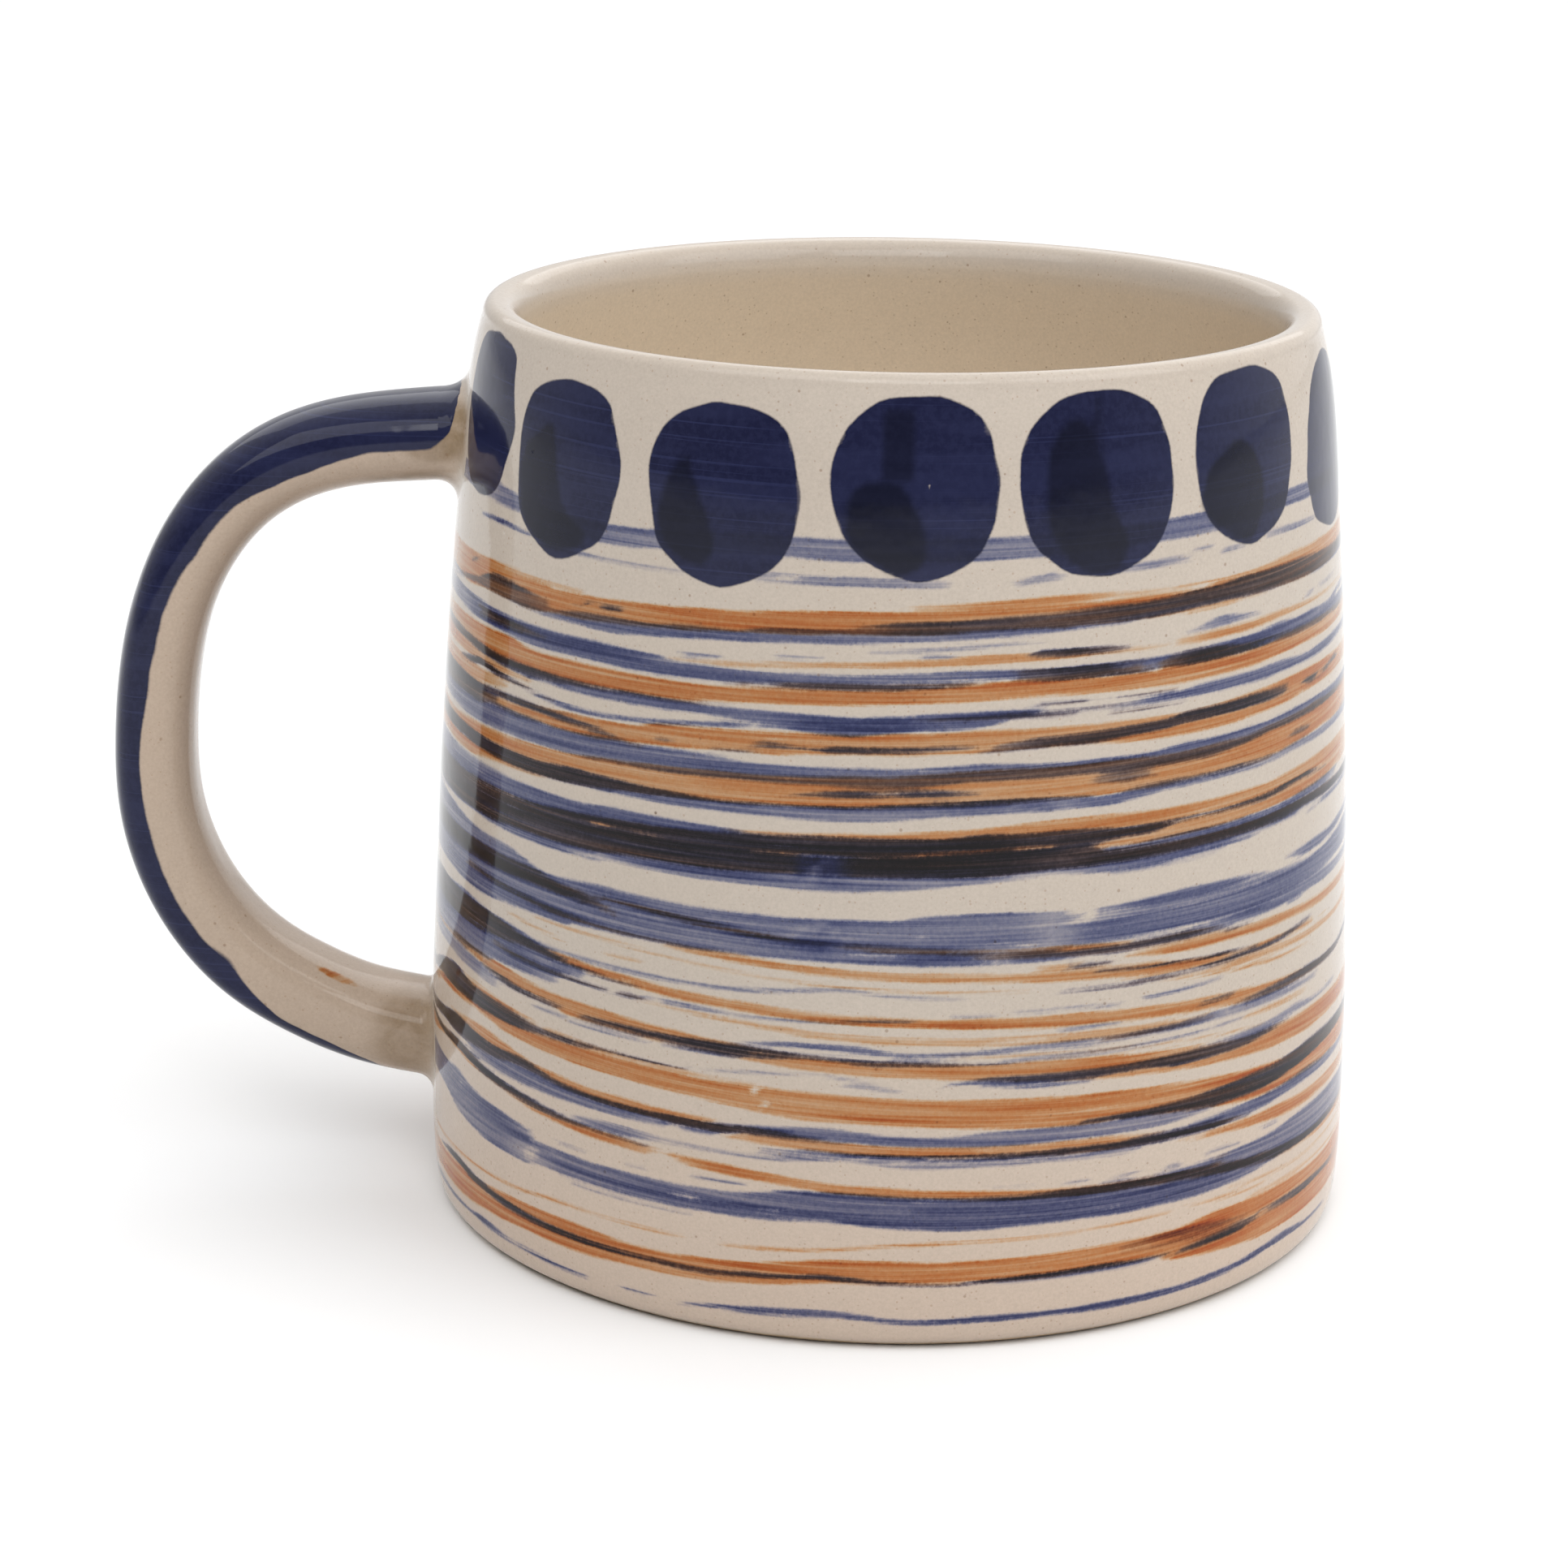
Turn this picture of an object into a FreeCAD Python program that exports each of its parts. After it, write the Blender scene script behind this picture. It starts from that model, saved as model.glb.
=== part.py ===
import FreeCAD, Part
import math
import os

from FreeCAD import Vector as V

# Thrown stoneware mug: a wheel-thrown body with a turned foot ring, a pulled
# handle, and the wiped slip that lutes each end of the handle to the wall.
# Millimetres. Origin: centre of the foot ring, on the plane it stands on.
# +Z is up; the handle lies in the XZ plane, on the -X side.

# ---------------------------------------------------------------- dimensions
HEIGHT = 95.0                 # foot to rim crest
# outer wall, radius against height: rounded in to the standing ring, nearly
# straight, closing in gently to the rim
OUTER = [(47.30, 0.45), (47.95, 0.95), (48.28, 1.60), (48.46, 2.60),
         (48.59, 4.40), (48.71, 8.00), (48.68, 13.30), (48.54, 22.80),
         (48.20, 31.00), (47.87, 38.00), (47.50, 46.00), (47.06, 53.20),
         (46.55, 61.00), (45.96, 68.40), (45.20, 77.00), (44.78, 81.70),
         (44.00, 88.00), (43.20, 91.90)]
RIM_OUT_R = 42.70             # where the outer rounding of the lip starts
RIM_OUT_Z = 93.70
RIM_CREST_R = 41.45           # highest line of the lip
RIM_FLAT_R = 40.75            # inner edge of the lip's flat top
RIM_FLAT_Z = 94.88
RIM_IN_R = 39.20              # bore of the lip
RIM_IN_Z = 93.00

# inner wall, from the lip down to the start of the floor's rounding
INNER = [(39.20, 93.00), (39.75, 89.00), (40.75, 81.70), (42.05, 68.40),
         (43.00, 53.20), (43.70, 38.00), (44.10, 26.00), (44.15, 18.00)]
FLOOR_CORNER = 10.5           # radius between wall and floor
FLOOR_Z = 7.0                 # inside floor at the corner
FLOOR_MID_Z = 6.4             # inside floor on the axis, slightly dished

FOOT_R = 46.50                # outer edge of the standing ring
FOOT_IN_R = 40.60             # inner edge of the standing ring
RECESS_Z = 1.60               # height of the turned recess inside the ring
RECESS_R = 39.20

# handle centreline: distance from the mug's axis, height
HANDLE_LINE = [(42.70, 80.75), (45.20, 80.70), (50.03, 80.42), (55.99, 79.77),
               (61.86, 78.13), (67.23, 74.87), (71.73, 69.70), (74.97, 62.94),
               (76.71, 55.38), (77.36, 47.76), (77.02, 40.53), (75.11, 33.84),
               (71.78, 27.98), (67.23, 23.28), (61.74, 19.87), (55.73, 17.33),
               (49.25, 15.92), (46.20, 15.35)]
HANDLE_THICK = [9.30, 9.05, 8.75, 8.50, 8.55, 8.75, 8.95, 9.10, 9.15]
HANDLE_WIDE = [14.2, 13.4, 12.8, 12.4, 12.2, 12.2, 12.4, 12.9, 13.8]
HANDLE_POWER = 2.35           # 2 is an ellipse, higher is squarer
HANDLE_SECTIONS = 24
SECTION_POINTS = 20

# slip wiped into the corner round each end of the handle
SLIP_UPPER = 2.6              # how far it runs, along the handle and the wall
SLIP_LOWER = 2.2
SLIP_EDGE = 0.30              # thickness where it runs out


def spline(points):
    c = Part.BSplineCurve()
    c.interpolate([V(r, 0, z) for r, z in points])
    return c.toShape()


def line(a, b):
    return Part.LineSegment(V(a[0], 0, a[1]), V(b[0], 0, b[1])).toShape()


def arc(a, m, b):
    return Part.Arc(V(a[0], 0, a[1]), V(m[0], 0, m[1]), V(b[0], 0, b[1])).toShape()


def quarter(a, centre, b):
    """Arc-like quarter ellipse point half way between a and b about centre."""
    mx = centre[0] + ((a[0] - centre[0]) + (b[0] - centre[0])) * math.sqrt(0.5)
    mz = centre[1] + ((a[1] - centre[1]) + (b[1] - centre[1])) * math.sqrt(0.5)
    return (mx, mz)


def make_body():
    # lip
    out_end = (RIM_OUT_R, RIM_OUT_Z)
    crest = (RIM_CREST_R, HEIGHT)
    flat = (RIM_FLAT_R, RIM_FLAT_Z)
    bore = (RIM_IN_R, RIM_IN_Z)
    edges = []
    wall = OUTER + [out_end]
    edges.append(spline(wall))
    edges.append(arc(out_end, quarter(out_end, (RIM_CREST_R, RIM_OUT_Z), crest), crest))
    edges.append(line(crest, flat))
    edges.append(arc(flat, quarter(flat, (RIM_FLAT_R, RIM_IN_Z), bore), bore))
    # inside
    corner_top = (INNER[-1][0], FLOOR_Z + FLOOR_CORNER)
    corner_end = (INNER[-1][0] - FLOOR_CORNER, FLOOR_Z)
    inner = [p for p in INNER if p[1] > corner_top[1] + 0.2] + [corner_top]
    edges.append(spline(inner))
    edges.append(arc(corner_top, quarter(corner_top, (corner_end[0], corner_top[1]), corner_end),
                     corner_end))
    edges.append(line(corner_end, (0, FLOOR_MID_Z)))
    # underside: recess, standing ring
    edges.append(line((0, FLOOR_MID_Z), (0, RECESS_Z)))
    edges.append(line((0, RECESS_Z), (RECESS_R, RECESS_Z)))
    edges.append(line((RECESS_R, RECESS_Z), (FOOT_IN_R, 0)))
    edges.append(line((FOOT_IN_R, 0), (FOOT_R, 0)))
    edges.append(line((FOOT_R, 0), OUTER[0]))
    wire = Part.Wire(Part.__sortEdges__(edges))
    face = Part.Face(wire)
    solid = face.revolve(V(0, 0, 0), V(0, 0, 1), 360)
    return solid


def lerp(values, t):
    x = t * (len(values) - 1)
    i = min(int(x), len(values) - 2)
    return values[i] + (values[i + 1] - values[i]) * (x - i)


def handle_curve():
    c = Part.BSplineCurve()
    c.interpolate([V(-r, 0, z) for r, z in HANDLE_LINE])
    return c


def section_wire(curve, u, thick, wide, grow=0.0):
    p = curve.value(u)
    t = V(*curve.tangent(u)[0]).normalize()
    side = V(0, 1, 0)
    up = t.cross(side).normalize()
    pts = []
    e = 2.0 / HANDLE_POWER
    for i in range(SECTION_POINTS):
        a = 2 * math.pi * i / SECTION_POINTS
        ca, sa = math.cos(a), math.sin(a)
        x = math.copysign(abs(ca) ** e, ca) * (thick / 2 + grow)
        y = math.copysign(abs(sa) ** e, sa) * (wide / 2 + grow)
        pts.append(p + up * x + side * y)
    s = Part.BSplineCurve()
    s.interpolate(pts, PeriodicFlag=True)
    return Part.Wire(s.toShape())


def make_handle(curve):
    wires = []
    total = curve.length()
    for i in range(HANDLE_SECTIONS):
        f = i / (HANDLE_SECTIONS - 1)
        u = curve.parameterAtDistance(f * total, curve.FirstParameter)
        wires.append(section_wire(curve, u, lerp(HANDLE_THICK, f), lerp(HANDLE_WIDE, f)))
    return Part.makeLoft(wires, True, False)


def make_slip(curve, body, handle, at_start, radius):
    """A ring of slip: sections of the handle grown by a hollow quarter-round
    profile, from inside the wall out to where the slip has run to nothing."""
    total = curve.length()
    # distance along the centreline at which it leaves the wall
    lo, hi = 0.0, 12.0
    def outside(d):
        s = d if at_start else total - d
        p = curve.value(curve.parameterAtDistance(s, curve.FirstParameter))
        r = math.hypot(p.x, p.y)
        z = p.z
        pts = OUTER
        for (r0, z0), (r1, z1) in zip(pts, pts[1:]):
            if z0 <= z <= z1:
                return r - (r0 + (r1 - r0) * (z - z0) / (z1 - z0))
        return 1.0
    for _ in range(40):
        mid = (lo + hi) / 2
        if outside(mid) > 0:
            hi = mid
        else:
            lo = mid
    root = (lo + hi) / 2
    wires = []
    steps = [-2.0, -1.0] + [radius * k / 6.0 for k in range(0, 7)]
    for d in steps:
        s = root + d
        f = (s / total) if at_start else 1 - s / total
        u = curve.parameterAtDistance(f * total, curve.FirstParameter)
        k = min(1.0, max(0.0, d) / radius)
        grow = SLIP_EDGE + radius * (1 - math.sqrt(1 - (1 - k) ** 2))
        if d < 0:
            grow = SLIP_EDGE + radius * (1 + 0.06 * (-d))
        wires.append(section_wire(curve, u, lerp(HANDLE_THICK, f), lerp(HANDLE_WIDE, f), grow))
    ring = Part.makeLoft(wires, True, False)
    return ring.cut(body).cut(handle)


def biggest(shape):
    return max(shape.Solids, key=lambda s: s.Volume)


def main():
    os.makedirs("parts", exist_ok=True)
    body = make_body()
    curve = handle_curve()
    raw = make_handle(curve)
    handle = biggest(raw.cut(body))     # its ends bear on the wall, face to face
    upper = biggest(make_slip(curve, body, raw, True, SLIP_UPPER))
    lower = biggest(make_slip(curve, body, raw, False, SLIP_LOWER))
    parts = {"mug_body": body, "handle": handle,
             "upper_joint_slip": upper, "lower_joint_slip": lower}
    for name, shape in parts.items():
        solid = shape.Solids[0] if shape.ShapeType != "Solid" else shape
        print(name, "valid", solid.isValid(), "volume cm3", round(solid.Volume / 1000, 3),
              "box", [round(x, 2) for x in (solid.BoundBox.XMin, solid.BoundBox.XMax,
                                            solid.BoundBox.YMin, solid.BoundBox.YMax,
                                            solid.BoundBox.ZMin, solid.BoundBox.ZMax)],
              "solids", len(shape.Solids))
        solid.exportStep("parts/%s.step" % name)
    names = list(parts)
    for i, a in enumerate(names):
        for b in names[i + 1:]:
            print("overlap", a, b, round(parts[a].common(parts[b]).Volume, 4),
                  "distance", round(parts[a].distToShape(parts[b])[0], 4))


main()
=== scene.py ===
import bpy
import math
import numpy as np
from mathutils import Matrix, Vector


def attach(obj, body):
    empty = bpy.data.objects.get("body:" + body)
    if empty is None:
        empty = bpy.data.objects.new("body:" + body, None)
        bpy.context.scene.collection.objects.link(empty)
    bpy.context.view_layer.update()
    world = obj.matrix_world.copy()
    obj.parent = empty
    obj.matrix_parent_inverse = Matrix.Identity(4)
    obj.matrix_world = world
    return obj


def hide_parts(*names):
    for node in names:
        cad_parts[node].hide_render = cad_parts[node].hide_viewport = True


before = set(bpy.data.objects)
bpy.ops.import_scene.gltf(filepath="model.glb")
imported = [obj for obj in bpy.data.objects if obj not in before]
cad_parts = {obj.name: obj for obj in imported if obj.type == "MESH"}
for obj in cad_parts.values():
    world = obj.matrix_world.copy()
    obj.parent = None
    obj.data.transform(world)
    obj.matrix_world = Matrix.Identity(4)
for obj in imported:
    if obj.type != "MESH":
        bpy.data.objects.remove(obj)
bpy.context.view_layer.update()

# Stoneware mug with brushed underglaze decoration. Metres, in the CAD's frame.
# Brushwork is laid out in (angle, height): the angle in degrees about +Z, 0 at the
# side facing -Y and growing towards +X, the height in hundredths of the mug's height.

MM = 0.001
H = 95.0                       # mug height, mm
TURN = 2.5                     # brushwork angle minus mesh angle, degrees

# ------------------------------------------------------------------ numbers
def natural_spline(x, y):
    x = np.asarray(x, float); y = np.asarray(y, float)
    n = len(x); h = np.diff(x)
    a = np.zeros((n, n)); b = np.zeros(n)
    a[0, 0] = a[-1, -1] = 1
    for i in range(1, n - 1):
        a[i, i - 1] = h[i - 1]; a[i, i] = 2 * (h[i - 1] + h[i]); a[i, i + 1] = h[i]
        b[i] = 6 * ((y[i + 1] - y[i]) / h[i] - (y[i] - y[i - 1]) / h[i - 1])
    m = np.linalg.solve(a, b)

    def f(t):
        t = np.asarray(t, float)
        i = np.clip(np.searchsorted(x, t) - 1, 0, n - 2)
        d0 = x[i + 1] - t; d1 = t - x[i]; hh = h[i]
        return (m[i] * d0 ** 3 + m[i + 1] * d1 ** 3) / (6 * hh) + \
            (y[i] / hh - m[i] * hh / 6) * d0 + (y[i + 1] / hh - m[i + 1] * hh / 6) * d1
    return f


def hermite(x, y, t):
    """Smooth curve through the points that doesn't overshoot them much."""
    x = np.asarray(x, float); y = np.asarray(y, float)
    if len(x) == 1:
        return np.full(np.shape(t), y[0])
    d = np.diff(y) / np.diff(x)
    m = np.zeros_like(y)
    m[0] = d[0]; m[-1] = d[-1]
    for i in range(1, len(x) - 1):
        if d[i - 1] * d[i] > 0:
            m[i] = 2 * d[i - 1] * d[i] / (d[i - 1] + d[i])
    t = np.clip(t, x[0], x[-1])
    i = np.clip(np.searchsorted(x, t) - 1, 0, len(x) - 2)
    h = x[i + 1] - x[i]; u = (t - x[i]) / h
    return ((2 * u ** 3 - 3 * u ** 2 + 1) * y[i] + (u ** 3 - 2 * u ** 2 + u) * h * m[i]
            + (-2 * u ** 3 + 3 * u ** 2) * y[i + 1] + (u ** 3 - u ** 2) * h * m[i + 1])


def hash01(i, j, s):
    i = np.asarray(i).astype(np.int64); j = np.asarray(j).astype(np.int64)
    n = (i * 374761393 + j * 668265263 + int(s) * 974634777) & 0xffffffff
    n = ((n ^ (n >> 13)) * 1274126177) & 0xffffffff
    n = ((n ^ (n >> 16)) * 2246822519) & 0xffffffff
    return ((n >> 8) & 0xffff) / 65535.0


def noise(x, y, s):
    """Smooth value noise, -1 to 1."""
    x = np.asarray(x, float); y = np.asarray(y, float)
    x, y = np.broadcast_arrays(x, y)
    i = np.floor(x); j = np.floor(y)
    u = x - i; v = y - j
    u = u * u * (3 - 2 * u); v = v * v * (3 - 2 * v)
    a = hash01(i, j, s); b = hash01(i + 1, j, s); c = hash01(i, j + 1, s); d = hash01(i + 1, j + 1, s)
    return 2 * ((a * (1 - u) + b * u) * (1 - v) + (c * (1 - u) + d * u) * v) - 1


def smooth(a, b, x):
    t = np.clip((x - a) / (b - a), 0, 1)
    return t * t * (3 - 2 * t)


# ------------------------------------------------------------------ the wall's profile, as in the CAD
OUTER = [(47.30, 0.45), (47.95, 0.95), (48.28, 1.60), (48.46, 2.60),
         (48.59, 4.40), (48.71, 8.00), (48.68, 13.30), (48.54, 22.80),
         (48.20, 31.00), (47.87, 38.00), (47.50, 46.00), (47.06, 53.20),
         (46.55, 61.00), (45.96, 68.40), (45.20, 77.00), (44.78, 81.70),
         (44.00, 88.00), (43.20, 91.90), (42.70, 93.70)]
INNER = [(39.20, 93.00), (39.75, 89.00), (40.75, 81.70), (42.05, 68.40),
         (43.00, 53.20), (43.70, 38.00), (44.10, 26.00), (44.15, 17.50)]
outer_r = natural_spline([p[1] for p in OUTER], [p[0] for p in OUTER])
inner_r = natural_spline([p[1] for p in INNER][::-1], [p[0] for p in INNER][::-1])

COLS = 288
ROWS_WALL = 254


def arc_rows(c, rx, rz, a0, a1, n):
    return [(c[0] + rx * math.cos(math.radians(a)), c[1] + rz * math.sin(math.radians(a)))
            for a in np.linspace(a0, a1, n)]


def profile():
    """(radius, height, zone) from the axis underneath, out, up, over the lip and down to the axis inside."""
    rows = []
    for r in (3, 9, 16, 23, 30, 35.5):
        rows.append((r, 1.60, 2))
    rows += [(38.3, 1.60, 2), (39.0, 1.56, 2), (39.35, 1.42, 2), (39.8, 0.92, 3), (40.25, 0.42, 3),
             (40.5, 0.14, 3), (40.8, 0.02, 3), (41.2, 0.0, 3), (43.0, 0.0, 3), (45.0, 0.0, 3), (46.1, 0.0, 3),
             (46.5, 0.03, 3), (46.85, 0.16, 3)]
    for z in (0.45, 0.70, 0.95, 1.25):
        rows.append((float(outer_r(z)), z, 1))
    for z in np.linspace(1.55, 93.4, ROWS_WALL):
        rows.append((float(outer_r(z)), float(z), 1))
    rows += [(r, z, 1) for r, z in arc_rows((41.45, 93.70), 1.25, 1.30, 0, 90, 8)]
    rows += [(r, z, 0) for r, z in arc_rows((40.75, 91.90), 1.90, 2.98, 90, 180, 12)]
    for z in np.linspace(90.6, 18.2, 27):
        rows.append((float(inner_r(z) - (inner_r(91.9) - 38.85) * smooth(80, 91.9, z)), float(z), 0))
    rows += [(r, z, 0) for r, z in arc_rows((33.65, 17.50), 10.5, 10.5, 0, -90, 14)]
    for r in (30, 25, 20, 15, 10, 5, 2):
        rows.append((r, 6.4 + 0.6 * r / 33.65, 0))
    return rows


# ------------------------------------------------------------------ brushwork
O_, B_, N_, D_ = 0, 1, 2, 3    # orange, blue, dot navy, the dots' second dab
EDGE = 0.40                    # mm either side of a brush edge over which coverage runs from 0 to 1
EDGE_DOT = 1.20                # the same for the dots, wider than the mesh columns so that their outline stays smooth


class Canvas:
    """Coverage and density of four pigments on a grid of angle and height."""

    def __init__(self, th, z):
        self.th = th; self.z = z                  # degrees in [-180, 180), hundredths
        self.cov = np.zeros(th.shape + (4,))
        self.den = np.zeros(th.shape + (4,))

    def lay(self, k, sel, d, den):
        """d: signed distance inside the mark, mm; den: how strong the pigment is there."""
        c = np.clip(0.5 + d / (2 * (EDGE_DOT if k in (N_, D_) else EDGE)), 0, 1)
        old = self.cov[..., k][sel]; oldden = self.den[..., k][sel]
        w = smooth(0.15, 0.6, c)
        keep = np.where(old > 0.35, oldden, 0)
        self.cov[..., k][sel] = np.maximum(old, c)
        self.den[..., k][sel] = oldden * (1 - w) + np.maximum(keep * 0.92, den) * w

    def lift(self, k, sel, d, amount=1.0):
        c = np.clip(0.5 + d / (2 * (EDGE_DOT if k in (N_, D_) else EDGE)), 0, 1) * amount
        self.cov[..., k][sel] = np.minimum(self.cov[..., k][sel], 1 - c)

    def stroke(self, kind, den, pts, seed=0, l=1.2, r=1.2, dry=0.0, wob=0.10):
        """A brush stroke: pts are (angle, top, bottom). l, r: how ragged its two ends are, in degrees."""
        pts = sorted(pts)
        t = np.array([p[0] for p in pts], float)
        top = np.array([p[1] for p in pts], float); bot = np.array([p[2] for p in pts], float)
        for shift in (-360.0, 0.0, 360.0):
            cols = np.nonzero((self.th[0] + shift > t[0] - 4) & (self.th[0] + shift < t[-1] + 4))[0]
            if not len(cols):
                continue
            th = self.th[0][cols] + shift
            zt = hermite(t, top, th); zb = hermite(t, bot, th)
            half = np.maximum((zt - zb) / 2, 0.02)
            w = np.minimum(wob, half * 0.45)
            zt = zt + w * (noise(th / 5.3, 0.5, seed + 11) + 0.5 * noise(th / 1.9, 0.5, seed + 12))
            zb = zb + w * (noise(th / 4.7, 0.5, seed + 21) + 0.5 * noise(th / 1.7, 0.5, seed + 22))
            lo = zb.min() - 1.0; hi = zt.max() + 1.0
            rows = np.nonzero((self.z[:, 0] > lo) & (self.z[:, 0] < hi))[0]
            if not len(rows):
                continue
            sel = np.ix_(rows, cols)
            zz = self.z[sel]; tt = self.th[sel] + shift
            dtop = (zt[None, :] - zz) * 0.95; dbot = (zz - zb[None, :]) * 0.95
            band = np.minimum(dtop, dbot)
            # bristles: each runs a different distance
            v = zz / 0.55
            e0 = t[0] + l * (0.6 * noise(v, 3.0, seed + 31) + 0.6 * noise(v * 2.3, 5.0, seed + 32))
            e1 = t[-1] - r * (0.6 * noise(v, 7.0, seed + 41) + 0.6 * noise(v * 2.3, 9.0, seed + 42))
            run = np.minimum(tt - e0, e1 - tt)
            d = np.minimum(band, run * 0.83 * 0.30)
            mid = (zt + zb)[None, :] / 2
            if dry > 0:
                # slits where the bristles parted: long, thin, along the stroke
                g = noise(tt / 13.0, (zz - mid) / 0.45, seed + 51) + 0.35 * noise(tt / 4.0, (zz - mid) / 0.40, seed + 52)
                ends_near = 1 - np.clip(run / 8.0, 0, 1)
                d = np.minimum(d, (g + 1.30 - dry * (1.0 + 0.9 * ends_near)) * 0.9)
            streak = 1 + 0.22 * noise(tt / 22.0, (zz - mid) / 0.42, seed + 61) + 0.12 * noise(tt / 9.0, (zz - mid) / 0.8, seed + 62) \
                + 0.10 * noise(tt / 11.0, 0.5, seed + 63)
            rim = 1 + 0.14 * np.exp(-np.clip(band, 0, 9) / 0.25)          # pigment gathers at the edge
            fade = 0.45 + 0.55 * smooth(0, 7, run)                        # and thins as the brush leaves
            dd = den * streak * rim * fade
            if kind == "O": self.lay(O_, sel, d + 0.02, dd)
            elif kind == "B": self.lay(B_, sel, d + 0.05, dd)
            elif kind == "C":
                self.lay(O_, sel, d - 0.05, dd * 0.88); self.lay(B_, sel, d, dd * 1.42)
            elif kind == "N": self.lay(N_, sel, d, dd)
            elif kind == "D": self.lay(D_, sel, d, dd)
            elif kind == "xB": self.lift(B_, sel, d, den)
            elif kind == "xO": self.lift(O_, sel, d, den)
            elif kind == "xC":
                self.lift(B_, sel, d, den); self.lift(O_, sel, d, den)

    def blob(self, k, den, outline, seed=0, soft=0.0, wob=0.18):
        """A dab with a closed outline of (angle, height) points."""
        p = np.array(outline, float)
        # smooth closed curve through the points
        n = len(p); q = []
        for i in range(n):
            p0, p1, p2, p3 = p[i - 1], p[i], p[(i + 1) % n], p[(i + 2) % n]
            for u in (0.0, 0.25, 0.5, 0.75):
                q.append(0.5 * (2 * p1 + (p2 - p0) * u + (2 * p0 - 5 * p1 + 4 * p2 - p3) * u * u
                                + (3 * p1 - p0 - 3 * p2 + p3) * u ** 3))
        q = np.array(q)
        # a soft brush rounds the corners off; its size stays
        area0 = abs(np.sum(q[:, 0] * np.roll(q[:, 1], 1) - q[:, 1] * np.roll(q[:, 0], 1)))
        for _ in range(12):
            q = 0.5 * q + 0.25 * (np.roll(q, 1, 0) + np.roll(q, -1, 0))
        area1 = abs(np.sum(q[:, 0] * np.roll(q[:, 1], 1) - q[:, 1] * np.roll(q[:, 0], 1)))
        mid = q.mean(0)
        q = mid + (q - mid) * math.sqrt(area0 / area1)
        for shift in (-360.0, 0.0, 360.0):
            cols = np.nonzero((self.th[0] + shift > q[:, 0].min() - 3) & (self.th[0] + shift < q[:, 0].max() + 3))[0]
            rows = np.nonzero((self.z[:, 0] > q[:, 1].min() - 2) & (self.z[:, 0] < q[:, 1].max() + 2))[0]
            if not len(cols) or not len(rows):
                continue
            sel = np.ix_(rows, cols)
            zz = self.z[sel]; tt = self.th[sel] + shift
            x = (tt + wob * noise(tt / 3.0, zz / 2.2, seed + 5)) * 0.79
            y = (zz + wob * noise(tt / 2.6, zz / 2.6, seed + 6)) * 0.95
            px = q[:, 0] * 0.79; py = q[:, 1] * 0.95
            best = np.full(x.shape, 1e9); inside = np.zeros(x.shape, bool)
            for i in range(len(q)):
                ax, ay = px[i - 1], py[i - 1]; bx, by = px[i], py[i]
                ex, ey = bx - ax, by - ay
                L = ex * ex + ey * ey + 1e-12
                u = np.clip(((x - ax) * ex + (y - ay) * ey) / L, 0, 1)
                best = np.minimum(best, (x - ax - ex * u) ** 2 + (y - ay - ey * u) ** 2)
                cross = (ay > y) != (by > y)
                if cross.any():
                    xi = ax + (y - ay) / (by - ay + 1e-12) * ex
                    inside ^= cross & (x < xi)
            d = np.where(inside, 1, -1) * np.sqrt(best)
            m = 1 + 0.10 * noise(tt / 9.0, zz / 0.45, seed + 7) + 0.10 * noise(tt / 4.0, zz / 5.0, seed + 8)
            self.lay(k, sel, d / (1 + soft), den * m)


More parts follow.
